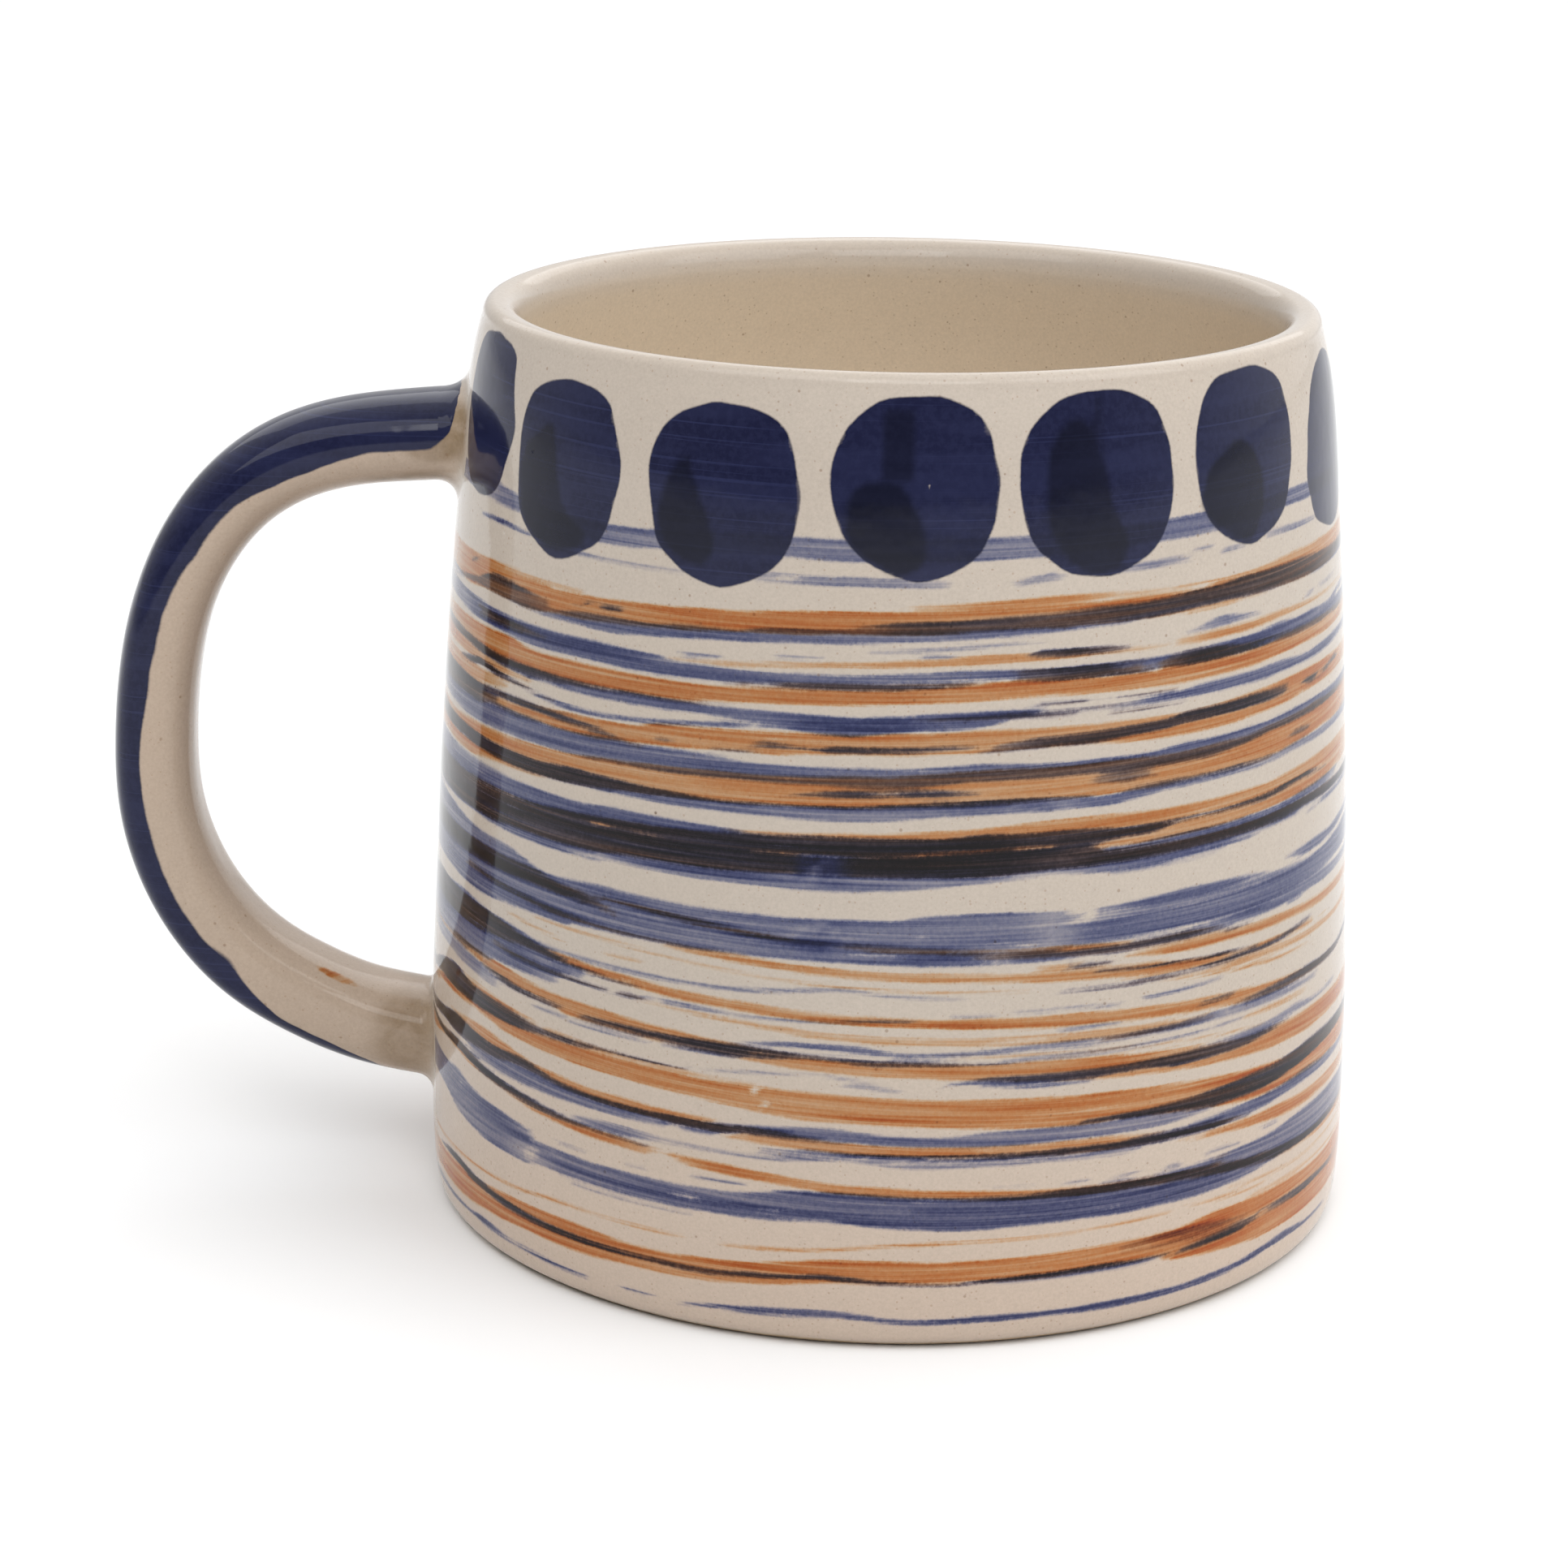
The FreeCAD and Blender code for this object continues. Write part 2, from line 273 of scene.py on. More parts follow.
# Each line: pigment, strength, L if it carries on round the back, then angle,top,bottom points.
# O orange, B blue, C both (they go charcoal together), x before a letter wipes it off.
STROKES = """
O .85 L -77,75.4,72.6 -70,75.55,72.2 -60,75.75,72.7 -50,75.6,72.5 -45,75.3,72.9 -40,75.4,73.1 -35,75.6,73.3 -30,75.75,73.6 -25,76.05,73.9 -20,76.3,74.2 -15,76.55,74.4 -10,76.8,74.6 -5,77,74.8 5,77.1,75 15,77.5,75.4 25,77.3,75.3 36,77.4,75.4 45,77.6,75.8 60,78.1,75.7 80,77.9,76.1
O .6 - 2,77.7,77 10,78,77.1 18,78.4,77.3 27,78.2,77.1
O .3 - 26,78.2,77.2 36,78.1,77.2
O .6 L 35.5,78.1,77.1 45,78.1,77.5 55,78.5,77.8 65,78.7,77.6 80,78.8,77.2
O .5 - -62,75.9,75.6 -53.5,76.05,75.9
O .5 - -55,75.8,75.4 -45,75.85,75.5 -40.5,75.95,75.8
B .95 - -84,72.4,72.0 -74,72.4,72.1 -65,73.4,72.6 -62,74.2,72.7 -59,74.65,72.7 -55,74.5,72.6 -50,74.1,72.5 -46,73.9,72.7
B .75 - -49,72.7,72.4 -43.5,73.4,72.4 -40,73.8,72.4 -35,73.9,72.4 -30,74,72.8 -25,74.3,73.1 -19,74.4,73.45 -15,74.9,73.6 -5,75.2,73.95 5,75.8,74.3 15,76.4,74.8 27,76.7,75.2
B 1 L -4,75.5,75 0,75.9,75 10,76.3,75.3 20,76.8,75.6 30,76.9,75.5 40,77.3,75.9 50,77.7,76.2 60,77.7,76.2 70,77.2,76.4 78,77,76.5
B .7 L 16,75.9,75.3 25,75.7,75.15 35,76.1,75.5 45,76.5,75.8 60,76.4,75.7 90,76.3,75.9
C .95 - -67.5,75,74.6 -64.5,75.4,74.9
C .95 - -37.8,74.8,74.3 -35,74.9,74.5
C .95 - -40.7,74.6,74.3 -39.8,75,74.7
O .5 - -28,70.9,70.6 -15,71.5,71 -5,72,71.5 5,72.6,71.8 15,72.95,72 27,72.5,72.3
O .25 - 26,72.6,72.2 33,72.6,72.2
O .5 L 36,72.95,72.15 45,73,72.2 55,73.2,72.5 67,73,72.7
C .85 - 16,72.8,72.5 18,73.1,72.4 26,73,72.45 29,72.8,72.5
B .55 - 38,73.4,73.2 43,74.2,73.4 50,73.75,73.6
B .55 - 62,73.9,73.5 64,73.8,73.55
B .55 - 66,74.1,73.8 72.5,74.1,73.9
B .3 - -2,73.2,73 7,73.7,73.4 16,74.1,73.9
B .7 - -25,71.6,71.2 -21.5,71.7,71.4
B .5 - -14,72.4,72.1 -8,72.3,72.1
B .6 - 3,72.8,72.6 7,72.8,72.6
O .5 - 37,75.6,75.15 45,75.85,75.3 53,75.8,75.65
B .75 L -80,71.5,69.7 -65,71.1,69.35 -50,70.9,68.95 -40,71,69 -30,70.9,69 -27,70.6,69.05 -20,70.5,69.2 -10,70.6,69.65 0,70.9,70.1 10,71.3,70.5 20,71.3,70.2 32.5,71.3,70.2
B 1.1 - -70,70.9,69.5 -64,70.9,69.3 -50,70.5,69.75 -40,70.65,69.75 -26,70.5,70.4
C 1 - -64,70.7,69.4 -55,70.5,69.6 -46,70.2,69.9
C .6 - -21,69.2,69 -10,69.8,69.1 0,70.1,69.4 11.5,70.2,69.95
C .9 - 13.5,71.3,70.2 22,71.25,70.1 32,71.3,70
C 1 - 34,71.3,70.1 38,71.5,70 48,71,70.3 57,70.9,70.75
B .85 - 41,71.5,70.6 50,71.65,70.85 55,71.9,70.9 62,71.8,70.8 68.5,71.6,71.2
B .55 L 62,71.2,70.7 70,71.6,71.1 77,72.2,71.9
O .85 L -80,68.4,67.1 -63,68.6,66.7 -55,68.8,66.5 -50,68.3,66.5 -40,68.5,66.5 -30,68.5,66.7 -20,68.7,67.2 -10,69,67.6 0,69.35,68 10,69.95,68.3 15,70.15,68.5 25,69.95,68.55 32,69.8,68.4 35,70.2,68.3 45,70,68.4 60,70.7,68.9 80,70.4,68.9
C .95 - -84,67.1,66.3 -65,66.8,65.95 -55,66.5,65.6 -50,66.5,65.5 -40,66.5,66 -30,66.75,66.35 -20,66.85,66.65
B .75 - -50,65.7,65.4 -40,66.2,65.5 -25,66.6,65.7 -15,66.6,65.3 -5,66.6,64.75 0,66.8,65.2 8,67.15,65.5 17,67.3,66.9
B 1.2 - -15.5,66,65.7 0,66.1,65.5 8,66,65.6
C .8 - 2,66.6,66.2 14,66.95,66.35 22,66.7,66.25
C .7 - 17,66.95,66.7 30,66.95,66.75
C .7 - 17,67.85,67.6 35,67.75,67.55
C .7 - 27,66.45,66.2 36,66.45,66.25
B .7 L 28,67,66.7 35,67.5,66.9 45,67.9,66.8 55,67.9,66.9 60,67.6,66.9 70,67.9,67.1 85,67.8,67.2
B .7 - -48,64.1,63.8 -40,63.8,63.4 -30,64.25,63.95 -20,65,64.7 -13.5,65.5,65.2
O .85 - -86,66.2,64.8 -80,66.1,64.8 -63,65.9,64.8 -50,65.2,64.9
C .95 - -69.5,64.3,64.1 -65,64.9,64.2 -62,65.1,64.4 -55,64.7,64.25 -45.5,64,63.8
O .75 - -86,64.2,62.8 -65,64.1,62.6 -54.5,63.8,63.5
O .8 L -58,62.6,61.5 -50,62.8,61.2 -40,63.1,61.2 -30.5,63.5,61.8 -29.5,63.95,61.85 -20,64.35,62.3 -10,64.75,62.65 0,64.95,62.9 10,65.25,63.1 20,65.35,63.4 30,65.3,63.1 40,65.4,63.05 50,65.7,63.3 60,65.95,63.7 80,65.6,63.8
C .95 - -16.7,63.3,63 -15,63.6,63.05 -8,63.4,63.1 -7.5,63.5,62.9 0,63.65,63.1 9.3,63.85,63.5
C .9 - -28.5,62.6,62.3 -26,62.6,62.3
C .8 - -21,62.4,62.2 -14.7,62.75,62.55
C .8 - 11.4,63.5,63.1 13,64,63.2 25,64.6,63.6 34,64.8,63.9 37,65.2,64.1 45,65.35,64.3 56.5,65.4,64.4
C .9 - 60.5,65,64.2 65,65,64.4
C .8 - 66,64.9,64.5 69,65.1,64.6
C .8 - 70,65.4,64.8 73,65.5,64.9
C 1 - -86,62.7,60.6 -63,62.5,60.5 -60,62.6,60.7 -58,62.8,61.3
C .9 - -60,62.7,62.2 -52,62.95,62.25 -43,62.7,62.1 -37,62.25,61.75 -31,61.3,61.1
C .9 - -60,61.5,60.9 -44,61.25,61
B .75 L -80,60.9,58.9 -65,60.5,58.45 -55,61.1,58.7 -45,61.15,58.9 -35,61.55,59.2 -25,61.6,59.4 -15,61.35,59.5 0,61.45,59.6 10,61.85,60.3 20,61.65,60.4 30,61.65,60.2 38,62.05,60.2 50,62.15,60.9 60,62.45,61.3 80,62.3,61.3
O .75 L -75,57.8,57.2 -65,58.1,56.8 -55,58.5,56.3 -45,58.75,56.3 -35,59.35,56.8 -25,59.9,57.1 -15,60.3,57.3 -5,60.6,57.5 5,61,57.85 15,61.4,58.15 25,61.35,58.1 35,61.25,58.3 45,61.35,58.3 55,61.75,58.6 65,61.85,59 80,61.6,58.9
C .95 - -86,57.5,56 -63,57.15,55.7 -50,57.1,55.6 -40,57.5,56 -30,57.4,56.5 -20,57.3,56.95 -5,57.6,57.4 5,58.1,57.7 15,58.3,57.9 23,58.2,58
C .9 - 27,58.25,58 33,58.6,58 40,58.6,58.1 52,58.55,58.1
C .75 - -11.3,58.6,58.3 -5,59.2,58.45 5,59.4,58.75 9.7,59.2,58.9
C .75 - 24,59.9,59.3 28,60.3,59.1 33,60,59.3
C .75 - 56.5,60,59.5 62,60,59.6
B .65 - -37,56.5,56.05 -25,56.9,56.1 -10,57.4,56.1 0,57.7,56.4 8,57.95,56.9 18.5,58,56.95
B .6 L 18,58.1,57.3 25,57.9,57 35,58.2,57.7 50,58.3,57.8 60,58.8,58.1 80,58.8,58.1
B 1.3 - 15.8,58,57.5 18.6,57.7,56.95
O .8 - -86,56,54.7 -65,55.85,54.65 -60,55.75,55 -48,55.6,55.45
B .65 - -86,54.3,52.5 -65,54.25,52.3 -50,54.2,52.6 -40,54.15,52.8 -34,54.55,53 -25,54.5,53.3 -17,54.3,53.8
O .5 - -63,52.5,52.2 -47,52.4,52.2
C 1 - -88,52.2,48.9 -63,52.2,48.85 -50,52.5,49.2 -40,53.05,49.45 -30,53.5,49.85 -20,54,50.1 -10,54.3,50.4 0,54.45,50.5 10,54.7,50.55 18,54.8,50.8 25,54.7,50.9
C .95 - 13,54.7,53.3 19,54.7,53.3 30,54.4,53.4 36,54.4,54 50,54.6,54.15 60,55,54.55 66.3,54.5,54.35
C .95 L 16,52.5,50.9 30,52.25,51 50,52.3,51.2 60,52.45,51.5 80,52.2,51.3
xB .9 - -38,52.7,52.2 -34.5,52.7,52.3
xB .9 - -31.5,52.7,52.4 -28.5,52.6,52.4
xB .9 - -16,52.5,52.3 0,52.8,52.5 7,53.3,52.85 12,53.3,53.15
xB .9 - 14.5,53.5,53.1 19,53.4,53.1
O .65 L -20,54.35,54.1 -10,54.75,54.2 0,55.05,54.3 10,55.4,54.5 20,55.95,54.6 35,55.65,54.3 50,55.7,54.5 65,56.25,55 80,56.2,54.4
O .7 L 15,53.3,52.9 20.5,53.5,52.8 25,53.6,52.7 33,53.9,52.7 45,54.2,52.9 60,54.7,53.2 80,54.9,53.4
B .75 - 15.5,52.55,52.4 20,52.85,52.4 27,52.5,52.2 36,52.8,52.2 50,52.8,52.3 64,53.25,52.6 72,53.2,52.8
C .7 - 34,52.85,52.65 45,52.85,52.65
B .8 - -86,49.3,48.8 -66,49.3,48.8 -50,49.4,48.55 -37.5,49.6,48.5
B .55 - -38,49.7,49 -25,50,48.95 -10,50.4,48.9 0,50.5,49.2 10,50.5,49.9 17.5,50.6,50.3
B .9 - -35,49.65,49.3 -8,49.65,49.3 5,50.1,49.85
B .7 - 18,50.95,50.45 30,50.9,50.05 38,51,50.4 48.5,50.9,50.6
B .4 - 48,51.2,50.85 60,51.6,51.1
B .6 L 61,51.2,50.6 66,51.1,50.7
B .3 - 26,50.1,49.75 42,50.1,49.9
B .65 - -88,48.4,41 -80,48.3,41 -70,47.8,40.9 -60,47.05,40.4 -53,46.95,40.8 -50,46.5,40.9 -44.5,45.6,40.95 -41,45.85,40.95 -40,45.85,41.3 -35,46.1,41.45 -25,45.95,41.6 -10,45.9,41.7 0,46.05,41.6 5,46.55,41.5 12,46.75,41.5 20.8,46.5,41.5
B .65 - 18,46.3,45.4 20,46.1,45.6 22.2,45.95,45.7
B .8 L 19,45.05,42.6 25,45.1,42.9 35,45.35,43 50,45.25,43.2 65,45.6,43.5 80,46.3,43.7
B .4 - 24.5,45.75,45.1 36,46.15,45.3 58.5,45.8,45.5
B .6 - 24.8,46.4,46 38,46.95,46 49.3,46.5,46.25
B .65 L 55,47.05,46.9 61,47.25,46.35 70,47.35,46.6 80,47.8,47.2
C .9 - -86,45.8,43.6 -66,45.8,43.7 -50,45.75,44.1 -42,45.2,43.9 -37,44.6,43.45 -33.3,43.7,43.25
C .9 - -63,43.1,42.4 -50,42.6,42 -40,42.1,41.6 -25,41.85,41.5 -17,41.8,41.6
C .8 - -41,45.2,45 -30,45.05,44.5 -20,44.5,43.9 -10,43.8,43.25 0,43.5,42.8 14,43.05,42.4
O .75 - 12,43,42.4 20,42.9,42.3 29,42.5,42.2
C .85 - 10,42.35,42 23,42.4,41.7 28,42.35,41.5 37,42.45,41.55 44,42,41.7
C .8 - 43.5,41.6,41.15 49,41.6,41.4
B 1.2 - -1,42.4,42.2 12,42.25,42
B .55 L 38,42.6,42.1 50,42.95,41.9 60,43.35,42.2 80,42.9,42.1
B 1 - 42,42.85,42.6 50,42.95,42.75 56,43.1,42.9
B .8 - 55,42.2,41.8 60,42.2,41.8
O .75 - -27,41.7,41.2 -15,41.3,40.6 -5,40.9,40.05 5,40.65,39.8 15,40.4,39.5 25,40.2,39.05 35,39.6,38.5 45,38.8,38
O .45 - -46,40.9,40.6 -30,40.5,40.2 -15,39.65,39.4 0,39,38.8 15,38.6,38.4
O .65 L 29,41.3,40.9 38,41.45,40.4 50,41.2,40.3 60,40.85,40 80,40.6,39.6
O .7 - -52,40,39.7 -42.5,39.35,39.1
O .6 - -34.7,39.25,39 -30,39.2,39
O .8 - 18.3,40.9,40.4 22,40.9,40.4
C .8 - 21.5,40.9,40.35 25.5,40.8,40.5
C .7 - 24,40,39.7 36,39.5,39.25 50,38.75,38.6
C .8 - 36,38.4,38 50,38.5,38.05 62,39.2,38.8
O .6 - 46,38.9,38.5 58,38.9,38.3 66,38.3,38
O .6 L 40,37.9,37.6 50,37.9,37.3 70,37.5,37 80,37.8,37.2
O .45 - 33,37.9,37.7 45,37.1,36.85 55,36.5,36.25 62,36.3,36.1
C .8 - 19,38.35,38 30,38.25,37.8 38,38.3,38
B .45 - -46,38.1,37.7 -30,38,37.6 -17,38.1,37.8 -10,38.6,38.25 -5,38.9,38.6 0,38.45,38.2 8.9,38.1,37.9
B .75 - -88,38.3,33.5 -80,38.4,33.5 -68,39.1,33.5 -65,39.4,33.4 -57,38.9,34 -50,38.5,34.3 -46,38,34.3 -43,37,34.3
B .7 - -46,36.9,35.9 -38.8,36.5,35.9
C .95 - -80,39,36.4 -70,39,36.2 -60,39,36.3 -47,37.9,36.9 -40,36.95,36.6 -30,36.5,36.3
C .85 d -56,36.2,35.6 -42,35.55,35.1 -34,35.4,35.05
C .85 - -33,35.5,35.05 -31,35.6,35 -29.5,35.4,35.1
C .95 - -70,33.9,33.4 -57,34,33.4
B .7 - -28,35.7,35.3 -19,35.5,35.15
B .4 - -17,35.3,35.05 -5,35.5,35.3
O .75 - -47,37.5,37.3 -45,37.75,37 -35,37.4,36.5 -25,36.95,36.1 -10,36.35,35.5 0,36.05,35.1 10,35.85,34.9 20,35.7,34.6 30,35.35,34.2 40,34.9,33.6 50,34.2,33.2 60,33.7,33.2
O 1.1 - -35,36.75,36.5 -10,35.75,35.5 10,35.15,34.9 30,34.45,34.2
C .95 - 40.5,34.5,34.1 44,34.5,34.1
C .9 - -3,35.85,35.6 3,35.85,35.6
B .8 - 21.3,34.4,33.9 27,34.3,34
B .6 - 7,36.35,36.1 12,36.3,36.1
B .6 - 15,36.4,36.2 19,36.35,36.15
B .6 - 21,36.45,36.2 28,36.15,35.85
B .6 - 31,36.4,36.1 42,36.6,36.35
C .95 L 45,33.2,33 55,33.7,32.85 62,33.75,32.75 70,33.5,32.8 80,34,33.3
O .45 - -30,35.2,35 -15,34.6,34.15 -5,34.15,33.5 5,34,33.2 15,33.8,33 25,33.6,32.75 40,33.1,32.6
O .8 L -70,33.5,33.3 -57,33.4,32.8 -55,33.8,32.6 -45,33.2,32.1 -40,33.1,31.4 -30,32.8,31.2 -20,32.4,30.9 -10,31.7,30.2 0,31.4,29.9 10,31.15,29.5 20,30.95,28.7 30,30.5,28.2 40,29.8,27.6 50,29.1,27 60,28.95,26.8 80,28.8,26.6
C .95 - -58,32.95,32.6 -50,32.4,31.85 -41,32.1,31.7
C .95 - -39.3,32.1,31.6 -25,32.05,31.35 -20,32.15,31.3 -12,31.8,31.5 0,31.5,31.05 15,31.15,31
C .95 - -25,31.1,30.85 -15,31.45,30.95 -9,31.7,31.4
B .65 - -18,32.25,32.05 -10,32.95,32.5 -4,32.9,32.35 2,32.35,31.95 11,32.55,32.15 16.5,32.85,32.3 30,32.75,32.25 43,33,32.3
C .6 - 25,32.75,32.3 42,32.95,32.35
B .35 - 42,33,32.2 55,32.6,32 63,32.4,31.9
B .55 - -80,33.2,32 -70,33,31.8 -60,32.8,31.3 -53.4,31.6,31.05
B .7 - -45.6,31.15,30.9 -40,31.1,30.9
B .6 - -39.5,30.95,30.7 -30,30.9,30.7
B .6 - -27,31,30.75 -17,30.95,30.75
B .5 - 10,31.4,31.2 20,31.6,31.15 33,31.4,31.2 46,31.6,31.4
O .45 - 7,32.2,32 22,31.7,31.5 35,31.1,30.9 50,30,29.8
O .6 - 46,31.6,31.2 61,31.4,31.05
B 1 - 6,29.2,28.9 13,29.65,29.1 20,29.6,28.9 30,29.55,28.9 36,29.6,28.3 44,29.4,28.4 55,29.05,28.95
B .8 - 11,29.05,28.8 17,28.8,28.3 23.7,28.55,28.3
B .3 - -22,29,28.8 -15,29.5,29.3 -7.5,29.9,29.7
B .5 - -7,29.9,29.6 -1.5,29.2,29
B .6 - -3.5,29,28.7 1.4,28.5,28.2
B .4 - 41,29.7,29.5 50,29.9,29.3 58,30.3,29.6 64.5,29.8,29.5 70,29.9,29.45
O .85 L -77,26.8,26.2 -70,27.9,27.2 -60,28,27.4 -50,28.3,26.75 -40,28.2,26.5 -30,28.2,26.3 -20,27.95,25.8 -10,27.9,25 0,27.6,24.75 10,27.35,24.4 20,27.05,23.9 30,26.7,23.7 40,26.1,22.9 50,25.3,22.1 60,24.6,22.2 80,23.8,21.8
O .6 - -45,29.2,28.3 -30,28.75,28.35 -13,28,27.5
O .65 - -65,30.4,29.8 -57,30.2,29.3 -45,29.3,29.1
C .95 - -78,28,27.2 -72,29.6,27.8 -67,30.45,27.8 -60,29.65,27.8 -50,29.35,27.9 -44,28.9,28.2
C .9 - -45,28.5,28.1 -38,28.35,28.2
C .9 - -45,28.95,28.6 -33,28.95,28.75 -23,28.8,28.6
C .85 L 23.7,24.3,24 30,24.4,23.7 35,24.45,23.5 40,24.55,23 48,24.8,22.75 54,25,23.1 60,25.35,23.4 67,25.3,23.8 80,24.9,23.9
O .75 - -67,25.3,24.9 -57,25.85,24.4 -50,25.2,24.5 -44,24.6,23.8 -35,24.2,23.2 -20,23.9,23
C .95 - -86,23.5,22.6 -80,23.5,22.6 -70,24.4,23 -65,25.1,23 -55,24.55,23.2 -49,24.8,23.7 -40,23.8,23.2 -30,23.5,22.9 -19,23.45,22.5 -16,23.6,22.8 -5,22.8,22.65
B .65 - -60,23.2,22.2 -50,23.75,22 -40,23.25,22.1 -27,22.9,22.1
B .65 - -23,22.5,22.1 -21,22.5,22.1
B .55 - -17,23.6,23.4 -7,24.25,22.9 0,23.7,22.6 7,23.45,22.4 13,23.85,22.4 25,23.8,22.4 34,23.5,22.3 42,22.9,22.7
O .7 - -18,22.5,22.2 -15,22.95,22.1 -5,22.65,21.65 10,22.35,21.2 25,22.1,20.8 33,21.6,20.6
C .9 - -8.3,21.8,21.6 5,21.5,21.2 20,21.5,20.85 30,21.45,20.5 41,21.2,20.35 47.5,20.6,20.4
B .4 - -14,21.5,21.1 -5,21.65,21.25 5,21.25,20.7
B .45 - -26,20.8,20.4 -15,20.6,20.3 -5,21.15,20.8 3,20.6,20.1 12,20.7,20.3 25,20.65,20.1 30,20.5,20
B .6 L 38,21.6,20.9 48,21.8,20.7 60,22,21.1 80,21.5,20.8
C .8 - 52,22.1,21.9 62,22.25,21.95 70,21.8,21.6
C .85 - -86,22,21.3 -72,22,21.3 -65,22.4,21.3 -56,21.5,20.5 -47,20.7,19.95 -35,20,19.7 -27,19.7,19.4
B .6 - -39.5,20.8,20.3 -33,21,20.2 -25.2,20.85,20.55
O .8 - -88,21.5,20.2 -80,21.5,20.2 -68,22.1,21.3 -60,21.4,20.8 -50,20.6,20 -42,19.95,19.3 -33,19.8,18.9 -28,19.5,18.7
O .8 L -25,19.4,18.8 -20,19.3,18.3 -12,18.8,17.8 -5,18.2,17.2 5,17.85,16.9 15,17.45,16.6 30,16.9,16 40,16.4,15.4 50,15.4,14.4 60,14.8,13.9 80,14.4,13.6
C .9 - -6,17.4,17.15 6,17.1,16.85
C .9 - 8,17,16.7 16,16.9,16.35 25,16.95,16.1 33,16.8,15.9 40,16.3,15.4 50,15.3,14.45 57,15,14.1 72,14.5,14.1
C .9 - 41,17,16.6 46,17,16.7
B .6 - 12,17.9,17.6 17,17.9,17.6
B .6 - 21,17.8,17.55 23,17.8,17.55
B .6 - 26,17.7,17.4 29,17.7,17.45
B .6 - 35,17.6,17.35 37,17.6,17.3
B .6 - 41,17.9,17.6 45,17.9,17.65
B .6 - 51,18.3,18.05 54,18.3,18.1
O .7 L 37,20.3,19.8 45,20.1,19.3 55,19.9,18.7 65,19.7,18.4 80,19.4,18.3
B .7 - -88,18.8,15.8 -80,18.8,15.8 -70,18.6,15.5 -65,18.8,14.4 -60,18.1,13.9 -50,17.4,13.4 -47.2,17.2,13.4
B .7 L -46,16.1,13.8 -38,16.1,13.8 -24.5,16.15,13.85 -18,16.3,13.9 -12,17,14.2 -7,17.3,14.45 -2,17.1,13.9 8,16.9,13.45 16,16.7,13.65 30,16.8,13.5 45,17,13.6 53,17.2,14 62,17.8,14.4 80,17.4,14.2
B 1.05 - -46,14.9,14.6 -30,14.8,14.5 -14,15,14.7 2,14.7,14.35 18,14.6,14.3 34,14.5,14.2 50,14.6,14.3
B 1.05 - -63,16.6,16.25 -52,16.2,15.9 -42,15.9,15.3
B .9 - 0,15.7,15.5 20,15.5,15.25 40,15.4,15.2
B .6 - -40,13.35,13.1 -34.5,13.3,13.1
B .6 - -33,13.35,13.1 -23,13.3,13.1
B .6 - -16,13.95,13.7 -7,14.3,14.05 -5,14.2,14
xB .9 - -25,15.3,14.9 -22,15.2,14.8
B .5 - -41.5,17.25,17 -37.5,17.2,17
B .5 - -31.5,17.25,17 -28.4,17.2,17
B .5 - -22,17.4,17.2 -17,17.4,17.2
O .45 - -86,9.4,9.1 -80,9.45,9.15 -60,9.75,9.45 -50,10.05,9.75 -42,10.65,10.35 -35,10.75,10.5
O .45 - -33.5,10.75,10.45 -23.7,10.7,10.45
O .45 - -18.4,10.6,10.3 -10,10.95,10.65 0,11.85,11.55 10,12.25,11.95 22.5,12.3,12
O .45 - 23.5,12.45,12.15 35,12.5,12.2
O .45 - 38,12.65,12.35 51,11.95,11.7
O .3 L 44,13.2,12.95 60,12.6,12.35 70,12.7,12.45
O .3 L 48,11.2,10.95 62,11.4,11.15 74,11.2,11
O .85 L -80,7.8,4.8 -65,7.7,4.85 -55,8.3,5.25 -47,8.7,5.7 -40,8.8,5.65 -30,8.3,6 -20,8.6,6.2 -12,9.3,6.9 -5,9.95,7.5 10,10,7.8 25,10.25,8 33,10.2,7.8 36,10.2,6.9 43,10.9,6.3 55,10.6,5.8 80,10.6,5.6
C .95 - -72.3,8.2,7.95 -65,8.9,8.1 -60,8.4,7.55 -50,7.75,6.95 -40,7.45,6.8 -28,7.4,6.9 -20,7.6,6.95 -10,8.15,7.6 -7,8.4,7.75 0,7.9,7.5 8,7.6,7.35 13,7.95,7.6 25,8.1,7.6 36,7.8,7.6
B .35 - 14,7.6,7.3 24,7.6,7.25 33,7.55,7.2
B .35 - 28.8,9.75,9.45 36,10.05,9.5 48,9.2,8.8
O 1.4 - 28.8,9.8,9.5 36,10.1,9.4 48,9.3,8.8
B .3 - 30,9.15,8.95 50,8.55,8.25
O 1.3 - 29.5,9.2,9 50,8.6,8.2
C .9 - 36.5,8,7.4 46,8.3,7.6 51,8.7,8.3
C .9 L 52,8.9,8.2 60,9,8.2 78,8.4,8
B .95 - -84,3.6,3.3 -70,3.8,3.4 -61.7,3.6,3.4 -57,4.05,3.3 -51,3.5,3.15
B .9 - -49.7,3.5,3.2 -38,3.1,2.85
B .9 - -31.5,3.2,2.95 -29,3.15,2.95
B .95 - -24,3.1,2.85 -15,3.9,3.45 -7,4.25,3.75 4,3.5,3.05 15,3.8,3.25 30,3.75,3.05 45,3.9,3.3 57,4.65,4.05 66,4,3.65 70.8,4,3.65
B .8 - -17,3.2,3 -7,3.7,3.5
B .9 - 76,3.9,3.6 96,4.3,3.7 118,3.7,3.2 140,3.9,3.5
B .9 - 146,3.5,3.1 170,4.1,3.6 196,3.5,3.2 215,3.8,3.3 238,3.6,3.3
B .6 L -64,84.1,82.1 -56,83.6,82 -48,83.3,81.7 -38,83,81.2 -26,83.6,81.7 -14,84.1,82.1 -4,84,82 8,84.3,82.1 24,84.6,82.6 36,84.9,82.9 46,85.1,83.3 58,85.2,83.7 75,85.2,83.6
B .9 - -66,80.2,79.8 -58,80.4,80 -52,80.1,79.8
